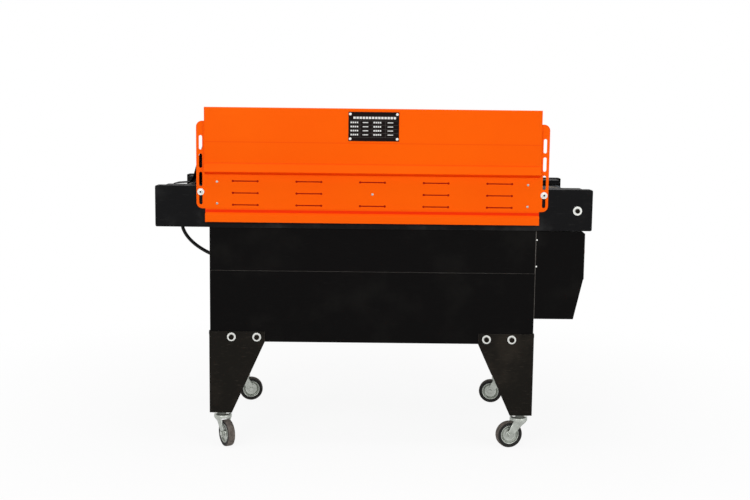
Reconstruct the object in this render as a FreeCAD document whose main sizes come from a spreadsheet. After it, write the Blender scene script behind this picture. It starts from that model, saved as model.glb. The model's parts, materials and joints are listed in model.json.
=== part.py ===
import FreeCAD, Part
import math
import os
import re

import Sketcher
from FreeCAD import Placement, Rotation, Vector

# Shrink wrapping machine: a hot air tunnel with a lifting hood over a mesh belt conveyor,
# on a sheet metal cabinet with four legs and swivel casters.
# Frame: millimetres, X along the belt, -Y towards the operator, Z up, floor at Z = 0.

doc = FreeCAD.newDocument("ShrinkTunnel")
sizes = doc.addObject("Spreadsheet::Sheet", "Sizes")

# The driving sizes: name, value in millimetres (or a count, or degrees), meaning.
SIZES = [
    ("conveyor_length", 1600, "side channels from end to end"),
    ("channel_half_width", 380, "outer face of a side channel from the middle plane"),
    ("channel_top", 983, "top of the side channels above the floor"),
    ("channel_depth", 151, "height of a side channel"),
    ("channel_sheet", 3, "sheet thickness of the channels"),
    ("channel_flange", 50, "width of a channel's folded flanges"),
    ("channel_corner", 6, "rounded corner of a channel's end"),
    ("seat_gap", 0.3, "gap between a moving piece and the face it runs on"),
    ("running_clearance", 0.05, "radial clearance of a turning shaft in its bore"),
    ("drum_diameter", 100, "outside of a drum"),
    ("drum_wall", 4, "wall of a drum's tube"),
    ("drum_end", 12, "thickness of a drum's end discs"),
    ("drum_shaft", 20, "diameter of a drum's shaft"),
    ("shaft_hole_room", 1, "hole for that shaft in a channel, wider by this"),
    ("belt_sheet", 1.2, "thickness of the mesh belt"),
    ("bearing_side", 62, "side of a square flange bearing"),
    ("bearing_flange", 8, "thickness of its flange"),
    ("bearing_nose", 16, "depth of the bearing with its round nose"),
    ("bearing_nose_diameter", 42, "diameter of the round nose"),
    ("rod_diameter", 8, "rods that carry the belt"),
    ("rod_count", 5, "number of rods"),
    ("cross_bar_height", 30, "flat bars under the rods"),
    ("cross_bar_sheet", 5, "thickness of those bars"),
    ("inner_bar_reach", 300, "inner cross bars from the middle"),
    ("deck_sheet", 2, "thickness of the deck covers and the pan"),
    ("deck_lip", 16, "folded lip of a deck cover beside the belt"),
    ("deck_end_gap", 5, "deck cover's end from the channel's end"),
    ("deck_hood_gap", 3, "deck cover's other end from the hood"),
    ("hood_centre", -6, "middle of the hood along X"),
    ("hood_sheet", 2, "sheet thickness of the hood"),
    ("bend_radius", 5, "outside radius of the hood's bends"),
    ("ear_corner", 22, "rounded corner of an ear"),
    ("ear_slot_width", 12, "width of an ear's slot"),
    ("ear_slot_length", 52, "length of an ear's slot"),
    ("ear_slot_count", 4, "slots in one ear"),
    ("ear_slot_inset", 16, "slot's middle from the ear's outer edge"),
    ("slit_width", 4, "vent slit"),
    ("slit_length", 98, "vent slit over its end holes"),
    ("slit_end", 8, "round hole at each end of a slit"),
    ("slit_window", 5, "opening in the hood's wall beyond its slit"),
    ("slit_row_pitch", 43.5, "spacing of the slit rows"),
    ("rivet_diameter", 9, "rivet head"),
    ("rivet_head", 1.6, "height of a rivet head"),
    ("clamp_shank", 10, "clamp bolt through an ear"),
    ("clamp_washer", 25, "its washer"),
    ("clamp_washer_sheet", 2.5, "thickness of the washer"),
    ("clamp_head", 16, "its head"),
    ("clamp_head_height", 8, "height of the head"),
    ("clamp_nut_height", 8, "weld nut inside the channel"),
    ("liner_sheet", 1.5, "sheet thickness of the liner"),
    ("wool_depth", 25, "thickness of the insulation on the liner"),
    ("rod_offset", 9, "curtain rod from the end plate's face"),
    ("curtain_rod", 6, "diameter of a curtain rod"),
    ("inlet_rod_drop", 12, "inlet curtain rod below the liner's top"),
    ("lug_radius", 5, "curtain rod's lug round the rod"),
    ("lug_sheet", 3, "thickness of a lug"),
    ("lug_gap", 2, "lug from the curtain's edge"),
    ("hem_wall", 1.6, "wall of the curtain's hem round the rod"),
    ("curtain_sheet", 1.6, "thickness of a curtain"),
    ("curtain_strips", 8, "strips in a curtain"),
    ("curtain_slit", 2, "gap between strips"),
    ("curtain_first_sway", 0.05, "curtain's first bend left of its rod, as a share of its fall"),
    ("curtain_first_drop", 0.38, "that bend below the hem, likewise"),
    ("curtain_second_sway", 0.2, "second bend left of the rod, likewise"),
    ("curtain_second_rise", 0.2, "that bend above the tip, likewise"),
    ("curtain_drag", 0.58, "tip left of the rod, likewise"),
    ("plate_width", 183, "data plate"),
    ("plate_offset", 2, "its middle to the right of the hood's"),
    ("plate_sheet", 1.5, "thickness of the data plate"),
    ("plate_screw_reach", 85, "plate screws from the plate's middle"),
    ("plate_screw_inset", 8, "plate screws from the plate's edge"),
    ("plate_screw_head", 6, "plate screw's head"),
    ("plate_screw_head_height", 1.5, "height of that head"),
    ("duct_sheet", 2, "sheet thickness of the duct"),
    ("jet_length", 120, "air jet slot"),
    ("jet_height", 6, "height of a jet slot"),
    ("jet_count", 5, "jets in a row"),
    ("jet_row_pitch", 80, "spacing of the jet rows"),
    ("heater_tube", 12, "heater tube diameter"),
    ("heater_loop", 70, "spacing of a heater's two legs"),
    ("heater_pitch", 160, "spacing of the heaters"),
    ("heater_stub", 30, "heater's terminal end outside the duct"),
    ("cabinet_centre", -3, "middle of the cabinet along X"),
    ("panel_gap", 1, "gap at that joint"),
    ("panel_sheet", 2, "sheet thickness of the panels"),
    ("panel_return", 25, "folded return of an end panel"),
    ("tray_height", 25, "height of the floor tray's rim"),
    ("louvre_length", 90, "cooling slot in the rear panel"),
    ("louvre_width", 8, "its width"),
    ("louvre_pitch", 24, "spacing of the cooling slots"),
    ("louvre_count", 6, "cooling slots in one group"),
    ("leg_sheet", 3, "sheet thickness of a leg"),
    ("leg_top_width", 206, "leg's front plate at the top"),
    ("leg_foot_width", 83, "leg's front plate at the foot"),
    ("leg_side_top", 160, "leg's side plate at the top"),
    ("leg_side_foot", 110, "leg's side plate at the foot"),
    ("leg_foot_height", 134, "underside of a leg's foot"),
    ("foot_sheet", 4, "thickness of the foot plate"),
    ("leg_bolt_washer", 32, "washer of a leg bolt"),
    ("leg_bolt_washer_sheet", 3, "thickness of that washer"),
    ("leg_bolt_head", 17, "head of a leg bolt"),
    ("leg_bolt_head_height", 8, "height of that head"),
    ("leg_bolt_shank", 10, "leg bolt"),
    ("caster_plate_x", 66, "caster plate along X"),
    ("caster_plate_y", 92, "caster plate along Y"),
    ("caster_plate_sheet", 3, "thickness of that plate"),
    ("caster_hole_x", 44, "caster bolts along X"),
    ("caster_hole_y", 70, "caster bolts along Y"),
    ("caster_bolt", 8, "caster bolt"),
    ("caster_bolt_head", 13, "its head and nut"),
    ("caster_bolt_head_height", 5.5, "height of that head"),
    ("race_diameter", 52, "swivel race"),
    ("race_height", 11, "height of the race"),
    ("kingpin_diameter", 12, "swivel pin"),
    ("kingpin_head", 20, "riveted head of that pin"),
    ("kingpin_head_height", 4, "height of that head"),
    ("fork_sheet", 2.5, "sheet thickness of a fork"),
    ("fork_crown", 50, "diameter of the fork's crown"),
    ("fork_gap", 34, "inside of the fork"),
    ("fork_eye", 13, "radius round the axle"),
    ("fork_eye_high", 8, "fork's edge above the axle"),
    ("fork_eye_low", 6, "its edge below the axle"),
    ("fork_eye_flat", 7, "half of the flat below the axle"),
    ("wheel_trail", 38, "wheel axle behind the swivel axis"),
    ("wheel_radius", 50, "caster wheel"),
    ("wheel_width", 28, "width of the tyre"),
    ("tyre_depth", 14, "depth of the tyre's rubber"),
    ("tyre_chamfer", 4, "bevel of the tread's edges"),
    ("hub_boss", 12, "radius of the wheel's boss"),
    ("hub_web", 9, "thickness of the wheel's web"),
    ("hub_rim", 4, "depth of the wheel's rim"),
    ("rim_inset", 2, "rim inside the tyre's side"),
    ("axle_diameter", 10, "wheel axle"),
    ("axle_nut", 17, "nut and head of the axle"),
    ("axle_nut_height", 6, "height of that nut"),
    ("box_length", 179, "control box along X"),
    ("box_chamfer", 7, "bevelled top corner of the control box"),
    ("box_bottom_length", 146, "underside of the control box along X"),
    ("box_screw", 8, "white screws at the control box's joint"),
    ("box_screw_height", 2, "how far their heads stand out"),
    ("gearbox_side", 96, "gearbox across the drum's shaft"),
    ("gearbox_width", 74, "gearbox along the shaft"),
    ("gearbox_neck", 20, "neck of the gearbox towards the motor"),
    ("gearbox_bevel", 12, "bevelled corner of the gearbox"),
    ("motor_offset", 30, "motor's axis beside the drum's shaft"),
    ("motor_diameter", 90, "gear motor"),
    ("motor_room", 8, "motor's opening in the control box beyond the motor"),
    ("motor_rib_count", 5, "cooling ribs round the motor"),
    ("motor_rib_height", 4, "height of a rib"),
    ("motor_rib_start", 30, "first rib from the motor's underside"),
    ("motor_rib_pitch", 24, "spacing of the ribs"),
    ("motor_rib_width", 12, "width of a rib"),
    ("torque_arm", 8, "thickness of the gearbox's arm"),
    ("torque_arm_far", 60, "arm's far end from the drum's shaft"),
    ("torque_arm_near", 35, "its near end"),
    ("torque_arm_rise", 20, "arm above the drum's shaft"),
    ("shaft_bolt_washer", 33, "washer on the drive shaft's end"),
    ("shaft_bolt_washer_sheet", 3, "thickness of that washer"),
    ("shaft_bolt_head", 18, "head of that bolt"),
    ("shaft_bolt_head_height", 7, "height of that head"),
    ("shaft_bolt_shank", 10, "that bolt"),
    ("shaft_bolt_depth", 22, "how far it is screwed in"),
    ("shaft_bolt_hole", 25, "depth of its threaded hole"),
    ("blower_radius", 80, "smallest radius of the blower's scroll"),
    ("blower_growth", 8, "growth of the scroll in a quarter turn"),
    ("blower_half_width", 42, "half width of the scroll"),
    ("blower_sheet", 2, "sheet thickness of the scroll"),
    ("blower_inlet", 100, "blower's round inlet"),
    ("impeller_diameter", 144, "impeller over its blades"),
    ("impeller_half_width", 32, "half width of the impeller"),
    ("impeller_boss", 35, "boss of the impeller"),
    ("impeller_ring", 3, "thickness of its front ring"),
    ("blade_count", 18, "blades of the impeller"),
    ("blade_depth", 20, "blade from tip to root"),
    ("blade_sheet", 1.5, "thickness of a blade"),
    ("blade_lean", 8, "lean of a blade at its tip"),
    ("blower_motor_diameter", 118, "blower's motor"),
    ("blower_motor_length", 150, "its length"),
    ("blower_shaft", 14, "its shaft"),
    ("blower_shaft_room", 4, "its hole in the scroll, wider by this"),
    ("motor_cap", 20, "solid end of the blower's motor"),
    ("rotor_end_gap", 5, "shaft's end from that cap"),
    ("blower_rib_count", 4, "cooling ribs round the blower's motor"),
    ("blower_rib_height", 5, "height of a rib"),
    ("motor_foot_low", 45, "half width of the motor's foot below"),
    ("motor_foot_high", 30, "its half width at the top"),
    ("motor_foot_drop", 45, "top of the foot below the motor's axis"),
    ("controller_side", 92, "temperature controller's cut-out"),
    ("controller_bezel", 96, "its bezel"),
    ("controller_bezel_height", 6, "how far it stands out"),
    ("controller_depth", 80, "its body behind the panel"),
    ("stop_place", -255, "stop button along Y"),
    ("power_place", -150, "power switch along Y"),
    ("controller_place", -20, "temperature controller along Y"),
    ("heater_place", 110, "heater switch along Y"),
    ("speed_place", 215, "speed knob along Y"),
    ("control_hole", 22, "hole for a switch"),
    ("bezel_diameter", 30, "ring round a switch"),
    ("bezel_height", 3, "its height"),
    ("bezel_thread", 12, "its threaded sleeve behind the panel"),
    ("stop_cap", 40, "stop button's mushroom head"),
    ("stop_cap_height", 6, "straight rim of that head"),
    ("stop_cap_bevel", 5, "its bevelled front, inwards"),
    ("stop_travel", 5, "travel of the stop button"),
    ("stem_diameter", 16, "stem of a switch"),
    ("stem_reach", 1, "stem beyond a pressed button's bezel"),
    ("knob_base", 28, "round base of a switch's knob"),
    ("knob_base_height", 8, "height of that base"),
    ("knob_bar", 8, "bar across a switch's knob"),
    ("knob_height", 18, "a knob from its bezel to its face"),
    ("speed_skirt", 32, "skirt of the speed knob"),
    ("speed_skirt_height", 7, "height of that skirt"),
    ("speed_grip", 24, "grip of the speed knob"),
    ("pointer_width", 3, "pointer on the speed knob"),
    ("pointer_length", 6.5, "its length along the knob"),
    ("pointer_stand", 0.5, "how far it stands out"),
    ("hose_diameter", 14, "wiring hose"),
    ("gland_diameter", 24, "collar of a hose gland"),
    ("gland_nipple", 20, "nipple of a hose gland"),
    ("gland_collar", 6, "width of its collar"),
    ("elbow_reach", 8, "elbow ahead of the cabinet's end panel"),
]

# Lengths and places that follow another: name, what it follows, how far beyond that, meaning.
PLACES = [
    ("drum_reach", "conveyor_length / 2", -55, "drum axis from the middle of the belt"),
    ("outer_bar_reach", "drum_reach", -105, "outer cross bars from the middle"),
    ("hood_length", "conveyor_length", -376, "hood from end to end"),
    ("ear_half_span", "hood_length / 2", 30, "outer edge of an ear from the hood's middle"),
    ("slit_reach", "hood_length / 2", -148, "outer columns of slits from the hood's middle"),
    ("rivet_reach", "hood_length / 2", -45, "end rivets from the hood's middle"),
    ("cabinet_length", "conveyor_length", -400, "cabinet from end to end"),
    ("duct_half_length", "cabinet_length / 2", -40, "air duct from its middle"),
    ("jet_reach", "duct_half_length", -120, "outer jets from the duct's middle"),
    ("heater_reach", "duct_half_length", -140, "heater's bend from the duct's middle"),
    ("leg_bolt_near", "cabinet_length / 2", -173.5, "inner leg bolt from the cabinet's middle"),
    ("leg_bolt_far", "cabinet_length / 2", -79.5, "outer leg bolt from the cabinet's middle"),
    ("caster_reach", "cabinet_length / 2", -39, "caster's swivel axis from the cabinet's middle"),
    ("louvre_reach", "cabinet_length / 2", -270, "groups of cooling slots from the middle"),
    ("hose_start", "-conveyor_length / 2", 33, "where the hose leaves the conveyor"),
    ("belt_width", "2 * channel_half_width", -310, "width of the mesh belt"),
    ("drum_face", "belt_width", 20, "length of a drum's tube"),
    ("rod_reach", "belt_width / 2", -33, "outer rods from the middle plane"),
    ("deck_inner_edge", "belt_width / 2", 7, "inner edge of a deck cover from the middle plane"),
    ("mouth_half_width", "belt_width / 2", 20, "half width of the tunnel's mouth"),
    ("duct_inner_half_width", "belt_width / 2", 15, "air duct's inner side beside the belt"),
    ("curtain_width", "belt_width", 2, "width of a curtain"),
    ("gearbox_inner", "drum_face / 2", 9, "gearbox's inner face from the middle plane"),
    ("hood_face", "channel_half_width", 12, "hood's upper front face from the middle plane"),
    ("hood_waist", "channel_half_width", 9, "narrowest line above the drip lip"),
    ("hood_lip", "channel_half_width", 26, "edge of the drip lip from the middle plane"),
    ("liner_half_width", "channel_half_width", -45, "tunnel liner's side from the middle plane"),
    ("duct_half_width", "liner_half_width", -10, "air duct's outer side"),
    ("cabinet_half_depth", "channel_half_width", -5, "front face of the cabinet from the middle plane"),
    ("leg_bolt_side", "cabinet_half_depth", -75, "side leg bolt from the middle plane"),
    ("caster_inset", "cabinet_half_depth", -53, "caster's swivel axis from the middle plane"),
    ("box_half_depth", "cabinet_half_depth", -2, "front face of the control box"),
    ("drum_axis_height", "channel_top", -77, "drum axis above the floor"),
    ("hood_top", "channel_top", 286, "top of the hood"),
    ("crease_height", "hood_top", -125, "crease across the hood's face"),
    ("waist_height", "channel_top", 84, "line where the drip lip starts to slope out"),
    ("lip_height", "channel_top", 53, "edge of the drip lip"),
    ("recess_top", "channel_top", 45, "top of the recess for the vent strip"),
    ("recess_bottom", "channel_top", -95, "bottom of that recess"),
    ("band_top", "channel_top", -103, "top of the lower band"),
    ("hood_bottom", "channel_top", -131, "lower edge of the hood"),
    ("mouth_top", "hood_top", -72, "top of the tunnel's mouth"),
    ("hood_end_bottom", "channel_top", 3, "lower edge of the hood's end plates"),
    ("strip_bottom", "channel_top", -82, "lower edge of the vent strip"),
    ("strip_top", "channel_top", 43, "upper edge of the vent strip between the ears"),
    ("ear_top", "hood_top", -50, "top of the slotted ears"),
    ("low_slot_height", "channel_top", -41.5, "middle of the lowest slot"),
    ("high_slot_height", "ear_top", -78, "middle of the highest slot"),
    ("slit_middle_height", "channel_top", -24.5, "middle row of slits"),
    ("rivet_high", "channel_top", 16, "upper end rivets"),
    ("rivet_low", "channel_top", -63.5, "lower end rivets"),
    ("liner_top", "hood_top", -67, "top of the tunnel liner"),
    ("liner_bottom", "channel_top", 7, "lower edge of the liner"),
    ("curtain_rod_height", "hood_top", -63, "outlet curtain rod"),
    ("curtain_tip_height", "drum_axis_height", 58, "lower edge of a dragged curtain"),
    ("plate_low", "hood_top", -117, "data plate's lower edge"),
    ("plate_high", "hood_top", -12, "data plate's upper edge"),
    ("duct_bottom", "channel_top", -343, "underside of the air duct"),
    ("duct_floor_top", "channel_top", -183, "top of the duct's lower chamber"),
    ("duct_top", "hood_top", -109, "top of the duct's side chambers"),
    ("jet_low", "channel_top", 27, "lower row of jets"),
    ("heater_height", "duct_bottom", 95, "heater's height above the floor"),
    ("blower_height", "duct_bottom", -115, "blower's axis above the floor"),
    ("motor_bottom", "drum_axis_height", -266, "underside of the gear motor"),
    ("panel_joint", "channel_top - channel_depth", -162, "joint between the front panels"),
    ("cabinet_bottom", "channel_top - channel_depth", -427, "underside of the cabinet"),
    ("elbow_height", "channel_top - channel_depth", -167.5, "angled gland above the floor"),
    ("leg_top", "cabinet_bottom", 38.5, "upper edge of a leg"),
    ("leg_bolt_height", "cabinet_bottom", 18, "bolts that hold a leg"),
    ("louvre_low", "cabinet_bottom", 75, "lowest cooling slot"),
    ("box_top", "channel_top - channel_depth", -3, "top of the control box"),
    ("box_knee", "box_top", -177, "knee of the control box's end"),
    ("box_bottom", "box_top", -327, "underside of the control box"),
    ("box_screw_high", "box_top", -36, "upper white screw above the floor"),
    ("box_screw_low", "box_top", -125, "lower white screw above the floor"),
    ("control_row", "box_top", -87, "height of the row of controls"),
]

BASES = {name: base for name, base, beyond, meaning in PLACES}
NAMES = {name for name, value, meaning in SIZES}
cells = SIZES + [(name + "_beyond", beyond, meaning) for name, base, beyond, meaning in PLACES]
for row, (name, value, meaning) in enumerate(cells, start=1):
    sizes.set(f"A{row}", meaning)
    sizes.set(f"B{row}", str(value))
    sizes.setAlias(f"B{row}", name)
doc.recompute()

PIECES = []


def cell(word):
    """A name in a formula as its cell of the sheet, or as what it follows and its cell."""
    if word[0] in BASES:
        return f"({spelled(BASES[word[0]])} + Sizes.{word[0]}_beyond)"
    return "Sizes." + word[0] if word[0] in NAMES else word[0]


def spelled(formula):
    """A formula with each size written as a cell of the sheet."""
    return re.sub(r"[a-z]\w*", cell, str(formula))


def number(formula):
    """The formula's value today."""
    return float(sizes.evalExpression(spelled(formula)))


def tie(item, field, formula):
    """Bind one field of an object to a formula of the sizes."""
    item.setExpression(field, spelled(formula))


def piece(kind, label):
    """A new sub-part, with the label that names its file."""
    made = doc.addObject(kind, label)
    made.Label = label
    PIECES.append(made)
    return made


def sketch_on(body, plane, start="0"):
    """A sketch on one of the body's origin planes, moved to the world coordinate start."""
    origin_plane = next(item for item in body.Origin.OriginFeatures if item.Role == plane + "_Plane")
    sketch = body.newObject("Sketcher::SketchObject", "Sketch")
    sketch.AttachmentSupport = [(origin_plane, "")]
    sketch.MapMode = "FlatFace"
    # The XZ plane's normal is -Y, so its offset has the other sign.
    tie(sketch, "AttachmentOffset.Base.z", f"-({start})" if plane == "XZ" else start)
    return sketch


def pin_point(sketch, geometry, point, place):
    """Tie a sketch point's two coordinates to formulas."""
    for kind, formula in zip(("DistanceX", "DistanceY"), place):
        index = sketch.addConstraint(
            Sketcher.Constraint(kind, -1, 1, geometry, point, number(formula)))
        tie(sketch, f"Constraints[{index}]", formula)


def draw_outline(sketch, corners):
    """A closed outline of straight lines whose corners are pairs of formulas."""
    first = sketch.GeometryCount
    count = len(corners)
    spots = [Vector(number(across), number(up), 0) for across, up in corners]
    for index in range(count):
        sketch.addGeometry(Part.LineSegment(spots[index], spots[(index + 1) % count]))
    for index in range(count):
        following = first + (index + 1) % count
        sketch.addConstraint(Sketcher.Constraint("Coincident", first + index, 2, following, 1))
    for index, corner in enumerate(corners):
        pin_point(sketch, first + index, 1, corner)


def draw_circle(sketch, place, diameter):
    """A circle with a tied centre and diameter."""
    geometry = sketch.addGeometry(
        Part.Circle(Vector(number(place[0]), number(place[1]), 0), Vector(0, 0, 1), number(diameter) / 2))
    index = sketch.addConstraint(Sketcher.Constraint("Diameter", geometry, number(diameter)))
    tie(sketch, f"Constraints[{index}]", diameter)
    pin_point(sketch, geometry, 3, place)


def draw_slot(sketch, place, length, width, upright):
    """A slot with half round ends, length measured over the ends."""
    half = f"(({length}) - ({width})) / 2"
    across, up = place
    ends = [(across, f"{up} - {half}"), (across, f"{up} + {half}")] if upright else \
           [(f"{across} - {half}", up), (f"{across} + {half}", up)]
    turn = -90 if upright else -180
    radius = number(width) / 2
    arcs = []
    for index, (end, start_angle) in enumerate(zip(ends, (turn - 90, turn + 90))):
        centre = Vector(number(end[0]), number(end[1]), 0)
        circle = Part.Circle(centre, Vector(0, 0, 1), radius)
        start_turn = math.radians(start_angle)
        arcs.append(sketch.addGeometry(Part.ArcOfCircle(circle, start_turn, start_turn + math.pi)))
    for arc, other in (arcs, arcs[::-1]):
        line = sketch.addGeometry(Part.LineSegment(
            sketch.getPoint(arc, 2), sketch.getPoint(other, 1)))
        sketch.addConstraint(Sketcher.Constraint("Tangent", arc, 2, line, 1))
        sketch.addConstraint(Sketcher.Constraint("Tangent", line, 2, other, 1))
    index = sketch.addConstraint(Sketcher.Constraint("Radius", arcs[0], radius))
    tie(sketch, f"Constraints[{index}]", f"({width}) / 2")
    for arc, end in zip(arcs, ends):
        pin_point(sketch, arc, 3, end)


def draw_corner(sketch, corner, radius, across, up):
    """What a rounded corner leaves off: the square corner outside a quarter circle."""
    x, z, size = number(corner[0]), number(corner[1]), number(radius)
    tip = Vector(x, z, 0)
    side, top = Vector(x, z - up * size, 0), Vector(x - across * size, z, 0)
    centre = Vector(x - across * size, z - up * size, 0)
    angles = sorted((0 if across > 0 else 180, 90 * up if across > 0 else 180 - 90 * up))
    circle = Part.Circle(centre, Vector(0, 0, 1), size)
    arc = sketch.addGeometry(Part.ArcOfCircle(circle, *(math.radians(angle) for angle in angles)))
    starts_at_side = sketch.getPoint(arc, 1).distanceToPoint(side) < size / 2
    ends = (1, 2) if starts_at_side else (2, 1)
    lines = [sketch.addGeometry(Part.LineSegment(side, tip)), sketch.addGeometry(Part.LineSegment(tip, top))]
    sketch.addConstraint(Sketcher.Constraint("Coincident", lines[0], 1, arc, ends[0]))
    sketch.addConstraint(Sketcher.Constraint("Coincident", lines[0], 2, lines[1], 1))
    sketch.addConstraint(Sketcher.Constraint("Coincident", lines[1], 2, arc, ends[1]))
    pin_point(sketch, lines[0], 2, corner)
    pin_point(sketch, lines[0], 1, (corner[0], f"{corner[1]} - {up} * {radius}"))
    pin_point(sketch, lines[1], 2, (f"{corner[0]} - {across} * {radius}", corner[1]))
    index = sketch.addConstraint(Sketcher.Constraint("Radius", arc, size))
    tie(sketch, f"Constraints[{index}]", radius)


def swept(body, kind, sketch, plane, length):
    """A pad or pocket of the sketch that runs by length in the plane's + direction."""
    feature = body.newObject("PartDesign::" + kind, kind)
    feature.Profile = sketch
    feature.Reversed = (plane == "XZ") == (kind == "Pad")
    tie(feature, "Length", length)
    doc.recompute()
    return feature


def pad(body, plane, start, length, outline, *holes):
    """Material between start and start + length inside the outline, open at the holes."""
    sketch = sketch_on(body, plane, start)
    for corners in (outline, *holes):
        draw_outline(sketch, corners)
    return swept(body, "Pad", sketch, plane, length)


def cut(body, plane, start, length, outline):
    """The outline is cut away between start and start + length."""
    before = body.Shape.Volume
    sketch = sketch_on(body, plane, start)
    draw_outline(sketch, outline)
    feature = swept(body, "Pocket", sketch, plane, length)
    assert feature.Shape.Volume < before, f"{body.Label}: the cut at {start} took nothing away"
    return feature


def drill(body, plane, start, length, diameter, *places):
    """Round holes of one diameter between start and start + length."""
    before = body.Shape.Volume
    sketch = sketch_on(body, plane, start)
    for place in places:
        draw_circle(sketch, place, diameter)
    feature = swept(body, "Pocket", sketch, plane, length)
    assert feature.Shape.Volume < before, f"{body.Label}: the hole at {start} took nothing away"
    return feature


def boss(body, plane, start, length, diameter, place):
    """A round boss between start and start + length."""
    sketch = sketch_on(body, plane, start)
    draw_circle(sketch, place, diameter)
    return swept(body, "Pad", sketch, plane, length)


def repeat(body, feature, *directions):
    """Copies of a feature in rows: each direction is a sketch axis, a pitch and a count."""
    pattern = body.newObject("PartDesign::MultiTransform", "Pattern")
    pattern.Originals = [feature]
    rows = []
    for axis, pitch, count in directions:
        row = doc.addObject("PartDesign::LinearPattern", "Row")
        row.Direction = (feature.Profile[0], [axis])
        tie(row, "Length", f"({pitch}) * (({count}) - 1)")
        tie(row, "Occurrences", count)
        rows.append(row)
    pattern.Transformations = rows
    body.Tip = pattern
    doc.recompute()
    return pattern


def revolve(body, plane, outline, axis="V_Axis"):
    """The outline turned once round an axis of its sketch."""
    sketch = sketch_on(body, plane)
    draw_outline(sketch, outline)
    feature = body.newObject("PartDesign::Revolution", "Revolution")
    feature.Profile = sketch
    feature.ReferenceAxis = (sketch, [axis])
    feature.Angle = 360
    doc.recompute()
    return feature


def round_edges(body, radius, wanted):
    """A fillet on every straight edge of the body that the test accepts, by its middle and direction."""
    base = body.Tip
    names = []
    for index, edge in enumerate(base.Shape.Edges, start=1):
        if edge.Curve.TypeId == "Part::GeomLine" and wanted(edge.CenterOfMass, edge.Curve.Direction):
            names.append(f"Edge{index}")
    feature = body.newObject("PartDesign::Fillet", "Fillet")
    feature.Base = (base, names)
    tie(feature, "Radius", radius)
    doc.recompute()
    return feature


def hollow(body, wall, opened):
    """The solid becomes a sheet metal shell, open at the faces that the test accepts."""
    base = body.Tip
    names = [f"Face{index}" for index, face in enumerate(base.Shape.Faces, start=1)
             if opened(face.CenterOfMass, face.normalAt(0, 0))]
    feature = body.newObject("PartDesign::Thickness", "Thickness")
    feature.Base = (base, names)
    tie(feature, "Value", wall)
    feature.Reversed = True
    feature.Join = 1
    doc.recompute()
    return feature


TURNS = {
    "X": Rotation(Vector(0, 1, 0), 90),
    "-X": Rotation(Vector(0, 1, 0), -90),
    "Y": Rotation(Vector(1, 0, 0), -90),
    "-Y": Rotation(Vector(1, 0, 0), 90),
    "Z": Rotation(),
    "-Z": Rotation(Vector(1, 0, 0), 180),
}


def set_down(item, place, along="Z"):
    """Place a primitive by formulas, with its own Z axis along the named direction."""
    item.Placement = Placement(Vector(), TURNS[along])
    for letter, formula in zip("xyz", place):
        tie(item, "Placement.Base." + letter, formula)
    return item


def rod(place, along, diameter, length):
    """A plain round rod."""
    made = doc.addObject("Part::Cylinder", "Rod")
    tie(made, "Radius", f"({diameter}) / 2")
    tie(made, "Height", length)
    return set_down(made, place, along)


def hexagon(place, along, across_flats, length):
    """A hexagon head or nut."""
    made = doc.addObject("Part::Prism", "Hexagon")
    made.Polygon = 6
    tie(made, "Circumradius", f"({across_flats}) / 2 / cos(30)")
    tie(made, "Height", length)
    return set_down(made, place, along)


def block(place, lengths):
    """A plain block from its lowest corner."""
    made = doc.addObject("Part::Box", "Block")
    for field, formula in zip(("Length", "Width", "Height"), lengths):
        tie(made, field, formula)
    return set_down(made, place)


def joined(*members, label=None):
    """Primitives fused into one solid."""
    made = piece("Part::MultiFuse", label) if label else doc.addObject("Part::MultiFuse", "Joined")
    made.Shapes = list(members)
    made.Refine = True
    return made


def less(base, *tools, label=None):
    """The base with the tools cut out of it."""
    made = piece("Part::Cut", label) if label else doc.addObject("Part::Cut", "Less")
    made.Base = base
    made.Tool = tools[0] if len(tools) == 1 else joined(*tools)
    return made


def group(label, members):
    """Like solids kept under one name."""
    made = piece("Part::Compound", label)
    made.Links = list(members)
    return made


def along_step(place, along, formula):
    """The place moved by a formula in the named direction."""
    letter = along[-1]
    sign = "-" if along.startswith("-") else "+"
    return tuple(f"{old} {sign} ({formula})" if axis == letter else old
                 for old, axis in zip(place, "XYZ"))


# Side channels of the conveyor: sheet folded to a C, open towards the belt.

def make_channel(label, side):
    """One channel; side is -1 in front and 1 behind."""
    body = piece("PartDesign::Body", label)
    face, inside = f"{side} * channel_half_width", f"{side} * (channel_half_width - channel_sheet)"
    edge = f"{side} * (channel_half_width - channel_flange)"
    low, high = "channel_top - channel_depth", "channel_top"
    pad(body, "YZ", "-conveyor_length / 2", "conveyor_length", [
        (face, low), (face, high), (edge, high), (edge, f"{high} - channel_sheet"),
        (inside, f"{high} - channel_sheet"), (inside, f"{low} + channel_sheet"),
        (edge, f"{low} + channel_sheet"), (edge, low)])
    web = "channel_half_width - channel_sheet" if side > 0 else "-channel_half_width"
    drill(body, "XZ", web, "channel_sheet", "drum_shaft + shaft_hole_room",
          ("drum_reach", "drum_axis_height"))
    drill(body, "XZ", web, "channel_sheet", "clamp_shank",
          ("hood_centre - ear_half_span + ear_slot_inset", CLAMP_HEIGHT),
          ("hood_centre + ear_half_span - ear_slot_inset", CLAMP_HEIGHT))
    corners = sketch_on(body, "XZ", "-channel_half_width" if side < 0 else
                        "channel_half_width - channel_flange")
    for end in (-1, 1):
        for up, level in ((-1, low), (1, high)):
            draw_corner(corners, (f"{end} * conveyor_length / 2", level), "channel_corner", end, up)
    swept(body, "Pocket", corners, "XZ", "channel_flange")
    return body


CLAMP_HEIGHT = "low_slot_height + (ear_slot_length - ear_slot_width) / 2"
make_channel("conveyor_front_channel", -1)
make_channel("conveyor_rear_channel", 1)


# Drums: a tube with two end discs welded on a shaft.

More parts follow.
